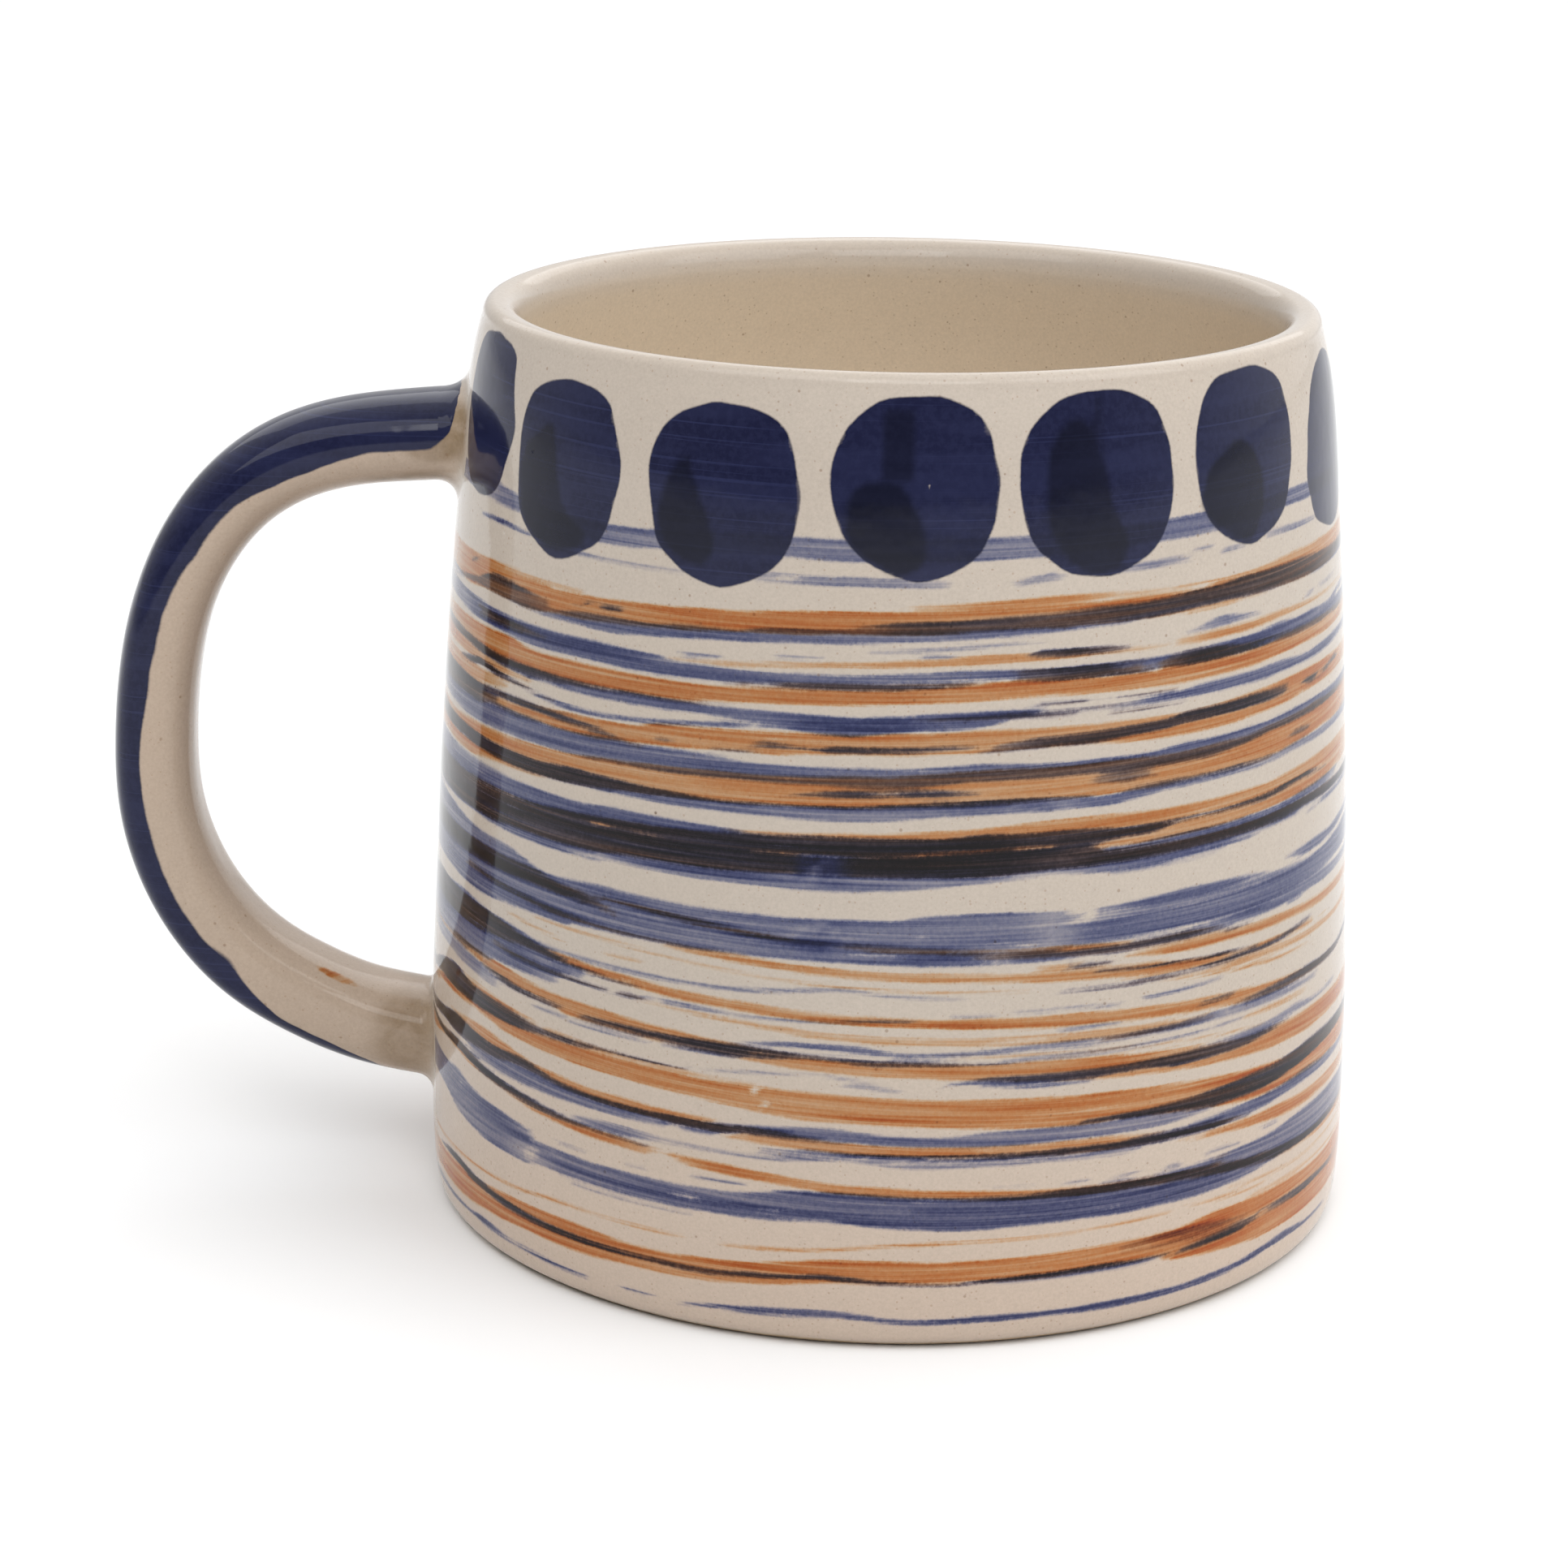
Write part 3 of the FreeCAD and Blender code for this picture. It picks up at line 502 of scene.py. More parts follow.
B .9 - -42,79.65,79.3 -37,79.5,79.25
B .4 - -37,79.55,79.25 -27,79.6,79.3
B .45 - -17,80.3,79.5 -4,80.3,79.6 6.5,80.1,79.6
B 1 - -4.6,80.4,80.1 -3.2,80.4,80.1
B .5 - 14,80,79.6 20,80.8,80.1
B .5 - 27,80.9,80.2 36.5,81.1,80.5
B .6 - 39,81.6,81.2 41.7,81.7,81.3
B .55 - 43.5,81.1,80.7 48,81.1,80.8
B .5 - 52,81.7,81.2 65.5,81.4,81
"""
# fewer, broader strokes that carry the bands round the side away from the front: angle 80 to 285
BACK = """
B .9 - 92,72.6,72.1 110,73.6,72.5 135,74.3,72.9 160,74.6,73.2 185,74.2,72.8
C 1 - 96,71.6,70.2 118,71.4,70 142,71.1,69.8 170,71.3,70.2 205,70.9,69.9 240,71.1,69.6 272,70.9,69.4
C .95 - 84,65.9,65.2 105,66.4,65.3 130,66.9,65.9 168,66.7,66.1 210,66.9,66.2 250,67,66.3 276,67.1,66.3
B .75 - 90,66.9,66.2 120,66.3,65.4 150,66.6,65.5 182,66.2,65.2 200,66,65.6
O .75 - 190,65.9,64.9 225,66.1,64.7 275,66.2,64.8
C .85 - 86,64.7,64 120,64.4,63.5 165,64.6,63.9 190,64.2,63.7
C 1 - 176,62.2,61.7 200,62.6,61.2 235,62.8,60.8 275,62.7,60.6
C .9 - 88,57.8,57.2 125,57.6,56.8 170,57.3,56.4 215,57.6,56.3 250,57.4,56 275,57.5,56
C .8 - 100,60.2,59.5 128,60.5,59.4 150,60.1,59.6
B .6 - 170,54.6,53.6 205,54.9,53.2 240,54.5,52.8 275,54.3,52.5
O .7 - 220,55.9,55 250,56.1,54.8 275,56,54.7
C 1 - 96,54.6,53.8 120,54.5,51.4 150,54.2,50.6 185,53.9,50.3 220,53.4,49.8 250,52.8,49.3 274,52.2,48.9
B .7 - 92,51,50.3 125,50.6,49.6 165,50.2,49.2 210,49.8,48.9 275,49.3,48.8
B .7 - 128,46.8,42.2 150,47.3,41.7 180,46.9,41.3 215,47.6,41.2 250,48.2,41 274,48.4,41
C .85 - 118,45.2,44.3 150,45,43.9 188,44.6,43.7 214,44.9,44.2
C .9 - 190,43.1,42.3 220,43,42.2 245,42.7,42.2
C .8 - 226,45.7,44.2 250,45.9,43.7 276,45.8,43.6
O .6 - 120,40.4,39.5 160,40.2,39.3 200,39.6,38.9
B .8 - 180,37.4,36.3 196,37.9,34.3 225,38.4,33.7 255,38.6,33.4 274,38.3,33.5
C .95 - 186,37.3,36.8 215,38.3,36.5 250,38.9,36.2 276,39,36.4
O .75 - 78,36.2,35.4 110,36.3,35.3 150,36.6,35.7 190,36.2,35.6
C .9 - 96,33.9,33 130,33.6,32.7 165,33.9,33.1 205,33.6,33.1 240,33.8,33.2
B .6 - 84,31,30.4 130,31.4,30.6 170,31.1,30.5
C .95 - 120,29.4,28.4 160,29.6,28.2 200,29.3,28 240,29.7,27.9 282,28,27.2
C .95 - 92,24.8,23.6 130,24.4,23.2 165,24.7,23.4 205,24.3,23.1 245,24.2,22.8 274,23.5,22.6
B .6 - 100,22.8,21.8 140,23.1,22 190,22.7,21.9 230,22.9,22.1
C .85 - 150,21.2,20.4 190,21.4,20.6 235,21.8,21 274,22,21.3
O .75 - 190,20.3,19.6 230,20.9,20 272,21.5,20.2
C .9 - 84,15.4,14.5 118,15.7,14.8 150,15.4,14.9
B .75 - 200,17.6,14.6 230,18.2,15.2 260,18.6,15.7 272,18.8,15.8
O .4 - 80,11.9,11.6 120,11.5,11.2 160,10.8,10.5
O .4 - 166,10.6,10.3 220,9.8,9.5 274,9.4,9.1
C .95 - 98,8.6,7.9 140,8.3,7.6 190,8.5,7.8 240,8.4,7.8
O 1.3 - 110,9.8,9.3 150,9.9,9.4
"""

DOTS = [
 ("-76.3,89 -75.7,95 -75,97 -73,98 -70,98.35 -67,98.45 -65,98.3 -63,97.9 -61,97.4 -60,96.9 -59.3,95 -58.8,93 -58,91.5 -57.5,90.3 -57.7,89 -58.5,87.5 -59.3,85.8 -60,84.3 -61.5,83 -63,82.3 -67,81.7 -71,82.5 -75,84.5", ""),
 ("-55.8,90 -55,93 -54,94.3 -52.5,95 -50.5,95.8 -48,96.15 -46,96.4 -44,96.35 -42,96 -40,95.5 -38.6,94.8 -38,93.5 -37.3,92 -36.1,89 -35.8,88 -36.6,85.8 -37.2,84.5 -38,81.8 -39,80.9 -42.5,79.4 -44,78.8 -46.5,78.4 -48.5,78.8 -52,80.2 -53.5,81.4 -54.5,82.3 -55.1,83.5 -55.4,86.5",
  "-55,88.5 -52,90 -50,91.5 -48,92 -47,87 -46.5,85 -45,83 -41,82 -41,80.5 -43,79.6 -46,79.3 -49,79.7 -52,80.6 -54,82.5 -55,85"),
 ("-31.9,89 -31.6,91 -30.2,93.6 -28.3,95.1 -25,96 -22,96.45 -20,96.45 -17,95.8 -14.3,94.9 -13.6,93.8 -12.6,91.5 -11.4,88 -12,85.5 -12.8,82.7 -14.5,80.9 -16.7,79.7 -20,78.8 -22,78.45 -25,79.1 -27.2,80.5 -29.8,81.7 -30.4,83.5 -31.2,86.5",
  "-30.2,85.5 -28.7,88.5 -27.5,90.5 -26.5,91.5 -25.5,88 -23.8,86 -22.2,83.8 -22.3,81.3 -25.5,80.4 -29,82 -30,83.5"),
 ("-8,89 -8,91 -7,94 -5,96 -2.5,97.3 -1,97.75 3,97.95 5,97.9 8,97.1 10.2,96 11.3,94 12,91 12.3,89.5 11.8,86.5 10.6,83.5 8.5,81.7 5.5,80.7 2.5,80.1 0,80.4 -2.3,81.5 -5,82.8 -6.6,84.5 -7.3,87",
  "-6.3,85 -5.5,88 -3.5,89.8 0,89.7 2,87.5 3.3,85 3.8,84 3,81.7 .8,80.6 -2,81.6 -5,83.3"),
 ("14.6,90 15.2,93 16.8,95.6 19.5,97.1 21.5,97.8 26,98 28.5,98.05 30,97.5 33.2,96.6 34.3,94.8 35.3,91 35.7,88.7 35,86.2 34.2,83.8 32.3,82 29.8,81 27.9,80 25,80.1 21,80.2 19.3,81.6 16.7,82.9 15.7,85 14.9,88",
  "18,87 17.8,89.5 19.2,93.5 20.5,94.7 22,95.2 23.8,95 25.3,91.5 26.3,88 26.6,86.2 28.8,84.2 28.6,81.5 26,80.4 24,80.4 21.5,81.8 19,83.5"),
 ("39,90.8 39.8,93.5 41.3,96.3 44,97.8 45.5,98.2 50.5,98.3 51.8,98.45 55,97.8 57.5,96.8 58.3,94.8 59.2,90.5 58.5,88 57.4,84.5 55.5,82.8 52.3,81.6 49,80.85 46,81.4 43,82.9 40.8,84.4 39.8,87",
  "40.3,86 40.5,88 42.5,90.3 46,91.4 48,91.5 49.8,91 51.6,88.3 51.9,86.5 51.3,83 49,81.6 47.5,81.4 44.3,82.5 41,84.5"),
 ("63.6,86.5 64.6,90.5 66.3,93.5 68.5,95.6 72,96.5 75,97 78,96.9 82.5,95.5 85.3,89 84,83.5 79,80 73,79.1 69.5,80.2 66.3,80.8 65.3,82.5 63.8,84.5", ""),
]


def pairs(text, k):
    v = [float(s) for s in text.replace(",", " ").split()]
    return [tuple(v[i:i + k]) for i in range(0, len(v), k)]


def paint(cv):
    seed = 1000
    for line in (STROKES + BACK).strip().splitlines():
        w = line.split(None, 3)
        if len(w) < 4 or w[0].startswith("#"):
            continue
        kind, den, flag, rest = w[0], float(w[1]), w[2], w[3]
        pts = pairs(rest, 3)
        seed += 17
        l = r = 1.6
        if flag == "L":
            a, b = pts[0], pts[-1]
            if a[0] < -50:                      # all the way round, its two ends meeting under the handle
                end = a[0] + 360
                for i, f in enumerate((0.22, 0.42, 0.62, 0.82)):
                    f2 = f * f * (3 - 2 * f)
                    dz = 0.35 * noise(i * 1.7, 0.5, seed + 3); dw = 0.25 * noise(i * 1.3, 2.5, seed + 4)
                    pts.append((b[0] + (end - b[0]) * f, b[1] + (a[1] - b[1]) * f2 + float(dz + dw), b[2] + (a[2] - b[2]) * f2 + float(dz - dw)))
                pts.append((end + 3, a[1], a[2]))
            else:                               # runs out somewhere on the back
                stop = 150 + 90 * float(hash01(seed, 3, 5))
                m = (b[1] + b[2]) / 2; h = (b[1] - b[2]) / 2
                for f in (0.35, 0.7, 1.0):
                    dz = 0.4 * float(noise(f * 3.1, 0.5, seed + 3))
                    k = 1 - 0.55 * f * f
                    pts.append((b[0] + (stop - b[0]) * f, m + dz + h * k, m + dz - h * k))
        dry = 0.55 if flag == "d" else (0.14 if den >= 0.75 else 0.30)
        cv.stroke(kind, den, pts, seed, l, r, dry)
    # a scratch through the wide orange band
    for k in (O_,):
        cv_l = [(-15.9, 28.2), (-15.2, 28.2), (-13.6, 26.0), (-14.1, 26.0)]
        cols = np.nonzero((cv.th[0] > -17) & (cv.th[0] < -12.5))[0]; rows = np.nonzero((cv.z[:, 0] > 25.6) & (cv.z[:, 0] < 28.6))[0]
        sel = np.ix_(rows, cols)
        mid = -15.5 + (28.2 - cv.z[sel]) * 0.8
        d = 0.28 - np.abs(cv.th[sel] - mid) * 0.79
        d = np.minimum(d, np.minimum(28.3 - cv.z[sel], cv.z[sel] - 25.9))
        cv.lift(k, sel, d)
    # rubbed patches in the middle blue bands
    for z0, z1 in ((49.3, 52.8), (42.5, 45.9)):
        cols = np.nonzero((cv.th[0] > -12) & (cv.th[0] < -4))[0]; rows = np.nonzero((cv.z[:, 0] > z0) & (cv.z[:, 0] < z1))[0]
        sel = np.ix_(rows, cols)
        g = smooth(-12, -9.5, cv.th[sel]) * smooth(-4, -6, cv.th[sel])
        m = 1.05 + 0.45 * noise(cv.th[sel] / 1.1, cv.z[sel] / 0.8, 77)
        cv.den[..., B_][sel] *= 1 + (m - 1) * g; cv.den[..., O_][sel] *= 1 - 0.85 * g
    # the row of dots
    front = [(pairs(a, 2), pairs(b, 2) if b else None) for a, b in DOTS]
    dots = list(front)
    src = (1, 2, 3, 4, 5, 2, 4)
    for i, c in enumerate((99.4, 124.9, 150.3, 175.7, 201.1, 226.6, 250.5)):
        o, b = front[src[i]]
        m = np.mean([p[0] for p in o]); f = -1 if i % 2 else 1
        s = 0.94 + 0.12 * float(hash01(i, 9, 3)); dz = -0.9 + 1.8 * float(hash01(i, 8, 3)); q = 3.0 * (float(hash01(i, 7, 3)) - 0.5)
        go = lambda p: (c + f * (p[0] - m) * s + q * (p[1] - 88.5) / 9.0, 88.8 + (p[1] - 88.5) * (0.97 + 0.05 * (1.06 - s)) + dz * 0.6)
        dots.append(([go(p) for p in o], [go(p) for p in b] if b else None))
    for i, (o, b) in enumerate(dots):
        cv.blob(N_, 1.0, o, 400 + 13 * i, 0.0, 0.15)
        if b:
            cv.blob(D_, 0.92, b, 700 + 13 * i, 0.25, 0.30)
    # darker pools down two of them, and a pinhole
    for t0, t1, z0, z1 in ((-2.3, 2.3, 89.5, 97.0), (24.5, 26.2, 90.0, 97.6)):
        cols = np.nonzero((cv.th[0] > t0 - 2) & (cv.th[0] < t1 + 2))[0]; rows = np.nonzero((cv.z[:, 0] > z0 - 1) & (cv.z[:, 0] < z1 + 0.5))[0]
        sel = np.ix_(rows, cols)
        d = np.minimum(np.minimum(cv.th[sel] - t0, t1 - cv.th[sel]) * 0.79, np.minimum(cv.z[sel] - z0, z1 - cv.z[sel]))
        cv.cov[..., D_][sel] = np.maximum(cv.cov[..., D_][sel], np.clip(0.40 + d / 3.2, 0, 0.85))
        cv.den[..., D_][sel] = np.maximum(cv.den[..., D_][sel], 0.75)
    cols = np.nonzero((cv.th[0] > 1) & (cv.th[0] < 6.5))[0]; rows = np.nonzero((cv.z[:, 0] > 88) & (cv.z[:, 0] < 91))[0]
    sel = np.ix_(rows, cols)
    d = 0.16 - np.hypot((cv.th[sel] - 3.7) * 0.79, (cv.z[sel] - 89.4) * 0.95)
    cv.lift(N_, sel, d); cv.lift(D_, sel, d)

# ------------------------------------------------------------------ meshes
def new_object(name, verts, faces, smooth_faces=True):
    me = bpy.data.meshes.new(name)
    me.from_pydata([tuple(v) for v in verts], [], faces)
    me.validate()
    ob = bpy.data.objects.new(name, me)
    bpy.context.scene.collection.objects.link(ob)
    if smooth_faces:
        me.polygons.foreach_set("use_smooth", [True] * len(me.polygons))
    me.update()
    return ob


def colour_layer(ob, name, values):
    """values: one row of 4 numbers per vertex"""
    at = ob.data.attributes.new(name, "FLOAT_COLOR", "POINT")
    at.data.foreach_set("color", np.ascontiguousarray(values, dtype=np.float32).ravel())


def float_layer(ob, name, values):
    at = ob.data.attributes.new(name, "FLOAT", "POINT")
    at.data.foreach_set("value", np.ascontiguousarray(values, dtype=np.float32).ravel())


def build_body():
    rows = profile()
    nr = len(rows)
    ang = np.arange(COLS) * 2 * math.pi / COLS      # mesh angle, 0 at -Y, growing towards +X
    R = np.array([r[0] for r in rows]); Z = np.array([r[1] for r in rows]); zone = np.array([r[2] for r in rows])
    x = np.outer(R, np.sin(ang)); y = -np.outer(R, np.cos(ang)); z = np.repeat(Z[:, None], COLS, 1)
    # the foot's outer edge is a little uneven, as it left the wheel and the kiln shelf
    dip = 0.10 * np.clip(noise(np.degrees(ang) / 17.0, 0.3, 901), 0, 1) + 0.25 * np.clip(noise(np.degrees(ang) / 5.0, 0.3, 902) - 0.72, 0, 1)
    k = np.exp(-((Z - 0.35) / 0.45) ** 2)[:, None] * (R > 45.5)[:, None]
    f = 1 - k * dip[None, :] * 0.012
    x *= f; y *= f
    # throwing lines inside, faint
    inside = ((zone == 0) & (Z < 92) & (R > 30))[:, None]
    f = 1 + inside * (0.05 * np.sin(Z[:, None] / 1.9 + 0.8 * np.sin(ang[None, :])) * 0.012)
    x *= f; y *= f
    verts = np.stack([x, y, z], -1).reshape(-1, 3) * MM
    faces = []
    for i in range(nr - 1):
        a = i * COLS; b = a + COLS
        for j in range(COLS):
            k2 = (j + 1) % COLS
            faces.append((a + j, a + k2, b + k2, b + j))
    c0 = len(verts); c1 = c0 + 1
    verts = np.vstack([verts, [[0, 0, 1.6 * MM], [0, 0, 6.4 * MM]]])
    for j in range(COLS):
        k2 = (j + 1) % COLS
        faces.append((c0, k2, j))
        t = (nr - 1) * COLS
        faces.append((c1, t + j, t + k2))
    ob = new_object("painted_body", verts, faces)
    th = (np.degrees(ang) + TURN + 180) % 360 - 180
    TH = np.repeat(th[None, :], nr, 0); ZZ = np.repeat((Z / 0.95)[:, None], COLS, 1)
    order = np.argsort(th)
    cv = Canvas(TH[:, order], np.where((zone == 1)[:, None], ZZ, -50.0)[:, order])
    # rows outside the wall are parked at -50; keep the rows sorted for the canvas by value only
    paint(cv)
    cov = np.zeros_like(cv.cov); den = np.zeros_like(cv.den)
    cov[:, order] = cv.cov; den[:, order] = cv.den
    tail = np.zeros((2, 4))
    colour_layer(ob, "cover", np.vstack([cov.reshape(-1, 4), tail]))
    colour_layer(ob, "strength", np.vstack([den.reshape(-1, 4), tail]))
    # where the lightened inside colour goes (painted light for the cup's shaded inside), fading out over the lip
    ins = np.clip((93.4 - Z) / 3.2, 0, 1)[:, None] * (np.repeat((zone == 0)[:, None], COLS, 1))
    bare = np.where((zone == 3)[:, None], 1.0, 0.0) + np.zeros((nr, COLS))
    bare = np.where((zone == 2)[:, None], 0.0, bare)
    low = (zone == 1) & (Z < 1.5)
    line = 0.62 + 0.25 * noise(th / 9.0, 0.1, 911)[None, :]
    bare = np.where(low[:, None], np.clip(0.5 - (z - line) / 0.5, 0, 1), bare)
    float_layer(ob, "inside", np.append(ins.ravel(), [0, 1]))
    float_layer(ob, "bare", np.append(bare.ravel(), [0, 0]))
    # the way the bristles ran: height less the drift of the strokes round the mug
    drift = np.interp(ZZ, [0, 10, 17, 28, 38, 46, 53, 60, 68, 76, 90], [0, .018, -.03, -.027, -.02, .0, .018, .027, .015, .018, 0])
    tri = np.degrees(np.arcsin(np.sin(np.radians(TH))))
    float_layer(ob, "flow", np.append(((ZZ - drift * tri) * 0.95 * MM).ravel(), [0, 0]))
    return ob


# handle centreline, mm: distance from the axis, height
HANDLE_LINE = [(42.70, 80.75), (45.20, 80.70), (50.03, 80.42), (55.99, 79.77),
               (61.86, 78.13), (67.23, 74.87), (71.73, 69.70), (74.97, 62.94),
               (76.71, 55.38), (77.36, 47.76), (77.02, 40.53), (75.11, 33.84),
               (71.78, 27.98), (67.23, 23.28), (61.74, 19.87), (55.73, 17.33),
               (49.25, 15.92), (46.20, 15.35)]
HANDLE_THICK = [9.30, 9.05, 8.75, 8.50, 8.55, 8.75, 8.95, 9.10, 9.15]
HANDLE_WIDE = [14.2, 13.4, 12.8, 12.4, 12.2, 12.2, 12.4, 12.9, 13.8]
HANDLE_POWER = [2.35, 2.35, 2.42, 2.55, 2.70, 2.85, 3.00, 3.00, 2.60]


def handle_frame():
    p = np.array(HANDLE_LINE)
    s = np.concatenate([[0], np.cumsum(np.hypot(*np.diff(p, axis=0).T))])
    fx = natural_spline(s, p[:, 0]); fz = natural_spline(s, p[:, 1])
    return fx, fz, s[-1]


def handle_point(fx, fz, total, s, a):
    """Surface point at distance s along and angle a about the centreline: 0 away from the mug, 90 degrees towards -Y."""
    e = 0.05
    x = fx(s); z = fz(s)
    tx = fx(s + e) - fx(s - e); tz = fz(s + e) - fz(s - e)
    n = np.hypot(tx, tz); tx, tz = tx / n, tz / n
    nx, nz = -tz, tx                 # normal in the plane (distance, height): outwards
    f = np.clip(s / total, 0, 1)
    g = np.linspace(0, 1, len(HANDLE_THICK))
    th = np.interp(f, g, HANDLE_THICK); wi = np.interp(f, g, HANDLE_WIDE); pw = np.interp(f, g, HANDLE_POWER)
    ca, sa = np.cos(a), np.sin(a)
    ex = 2.0 / pw
    u = np.sign(ca) * np.abs(ca) ** ex * th / 2
    v = np.sign(sa) * np.abs(sa) ** ex * wi / 2
    return np.stack([-(x + nx * u), -v, z + nz * u], -1)


def wall_gap(P):
    """How far outside the wall a point is, mm."""
    return np.hypot(P[..., 0], P[..., 1]) - outer_r(np.clip(P[..., 2], 0.5, 93.6))


def root_s(fx, fz, total, a, at_start):
    """Where the handle's surface line at angle a leaves the wall."""
    lo = np.zeros_like(a); hi = np.full_like(a, 14.0)
    for _ in range(40):
        mid = (lo + hi) / 2
        s = mid if at_start else total - mid
        out = wall_gap(handle_point(fx, fz, total, s, a)) > 0
        hi = np.where(out, mid, hi); lo = np.where(out, lo, mid)
    s = (lo + hi) / 2
    return s if at_start else total - s


NA = 96


def handle_paint(S, A, total):
    """Coverage, strength and pooled glaze at distance S along and angle A round the handle."""
    # blue on the back: half-width in degrees about the outward line, against distance along
    F = S / total
    deg = np.degrees(A); deg = np.where(deg > 180, deg - 360, deg)      # + towards -Y, - towards +Y
    near = hermite([.016, .031, .052, .105, .136, .171, .207, .238, .265, .303, .337, .361, .421, .481, .527, .586, .634,
                    .676, .722, .753, .784, .813, .831, .863, .892, .925, .945],
                   [16, 79, 93, 92, 97, 100, 100, 95, 92, 93, 90, 88, 88, 86, 81, 84, 85, 85, 86, 89, 82, 74, 68, 66, 62, 50, 12], F)
    far = hermite([.016, .035, .1, .2, .3, .4, .5, .6, .7, .8, .86, .91, .945], [16, 84, 94, 99, 92, 86, 82, 86, 90, 80, 66, 52, 12], F)
    near = near + 1.0 * noise(S / 3.1, 0.2 + A * 0, 81) + 0.5 * noise(S / 1.2, 0.2 + A * 0, 82)
    far = far + 2.5 * noise(S / 7.0, 0.2 + A * 0, 83) + 1.2 * noise(S / 2.5, 0.2 + A * 0, 84)
    lim = np.where(deg >= 0, near, far)
    d = (lim - np.abs(deg)) * 0.093                                     # mm inside
    start = (S - 1.9) * 1.0 + 0.3 * noise(deg / 15.0, 0.7, 85); end = (0.945 * total - S) * 1.0
    d = np.minimum(d, np.minimum(start, end))
    cov = np.zeros(S.shape + (4,)); den = np.zeros_like(cov)
    cov[..., N_] = np.clip(0.5 + d / (2 * EDGE_DOT), 0, 1)
    den[..., N_] = 1.0 + 0.12 * noise(S / 9.0, deg / 14.0, 87) + 0.10 * smooth(40, 0, np.abs(deg))
    # an orange-brown smudge left on the lower arm, and a dab of blue by its root
    q = np.hypot((S - total * 0.862) / 2.2, (deg - 148) / 7.0)
    cov[..., O_] = np.clip(0.5 + (1 - q) * 0.9, 0, 1) * (q < 2); den[..., O_] = 0.75
    # the clear glaze lies thick and brownish in the crook of each joint
    p1 = np.hypot((S - 4.2) / 4.0, (deg - 72) / 34.0); p2 = np.hypot((S - 7.0) / 6.0, (deg - 140) / 16.0)
    e1 = total - S
    p3 = np.hypot((e1 - 4.5) / 4.5, (np.abs(deg) - 110) / 60.0)
    pool = np.clip(smooth(1.25, 0.75, p1) + 0.8 * smooth(1.3, 0.5, p2) + 0.75 * smooth(1.3, 0.5, p3), 0, 1)
    return cov, den, pool




def build_handle():
    fx, fz, total = handle_frame()
    # even out the points round the section: take them at equal steps of arc
    a_f = np.linspace(0, 2 * np.pi, 721)
    pw = 2.45; ca, sa = np.cos(a_f), np.sin(a_f)
    u = np.sign(ca) * np.abs(ca) ** (2 / pw) * 4.4; v = np.sign(sa) * np.abs(sa) ** (2 / pw) * 6.2
    L = np.concatenate([[0], np.cumsum(np.hypot(np.diff(u), np.diff(v)))])
    a = np.interp(np.linspace(0, L[-1], NA, endpoint=False), L, a_f)
    s0 = root_s(fx, fz, total, a, True) - 0.4; s1 = root_s(fx, fz, total, a, False) + 0.4
    M = 190
    f = np.linspace(0, 1, M)[:, None]
    S = s0[None, :] * (1 - f) + s1[None, :] * f
    A = np.repeat(a[None, :], M, 0)
    P = handle_point(fx, fz, total, S, A)
    # hand-made: the strap is not quite even
    wav = 0.10 * noise(S / 17.0, 0.4 + A * 0, 71) * np.abs(np.cos(A)) + 0.12 * noise(S / 23.0, 0.9 + A * 0, 72) * np.abs(np.sin(A))
    ends = smooth(3.2, 12, S - s0[None, :]) * smooth(3.2, 12, s1[None, :] - S)
    C = handle_point(fx, fz, total, S, A * 0)
    C = (C + handle_point(fx, fz, total, S, A * 0 + np.pi)) / 2
    dirs = P - C; dirs /= np.linalg.norm(dirs, axis=-1, keepdims=True) + 1e-9
    P = P - dirs * (0.12 + wav)[..., None] * ends[..., None] * 0.8
    verts = P.reshape(-1, 3) * MM
    faces = []
    for i in range(M - 1):
        for j in range(NA):
            k = (j + 1) % NA
            faces.append((i * NA + j, (i + 1) * NA + j, (i + 1) * NA + k, i * NA + k))
    faces.append(tuple(range(NA)))
    faces.append(tuple((M - 1) * NA + j for j in range(NA - 1, -1, -1)))
    ob = new_object("painted_handle", verts, faces)
    cov, den, pool = handle_paint(S, A, total)
    colour_layer(ob, "cover", cov.reshape(-1, 4)); colour_layer(ob, "strength", den.reshape(-1, 4))
    float_layer(ob, "pool", pool.ravel())
    float_layer(ob, "wall", np.zeros(P.shape[:2]).ravel())
    float_layer(ob, "inside", np.zeros(P.shape[:2]).ravel())
    float_layer(ob, "bare", np.zeros(P.shape[:2]).ravel())
    return ob


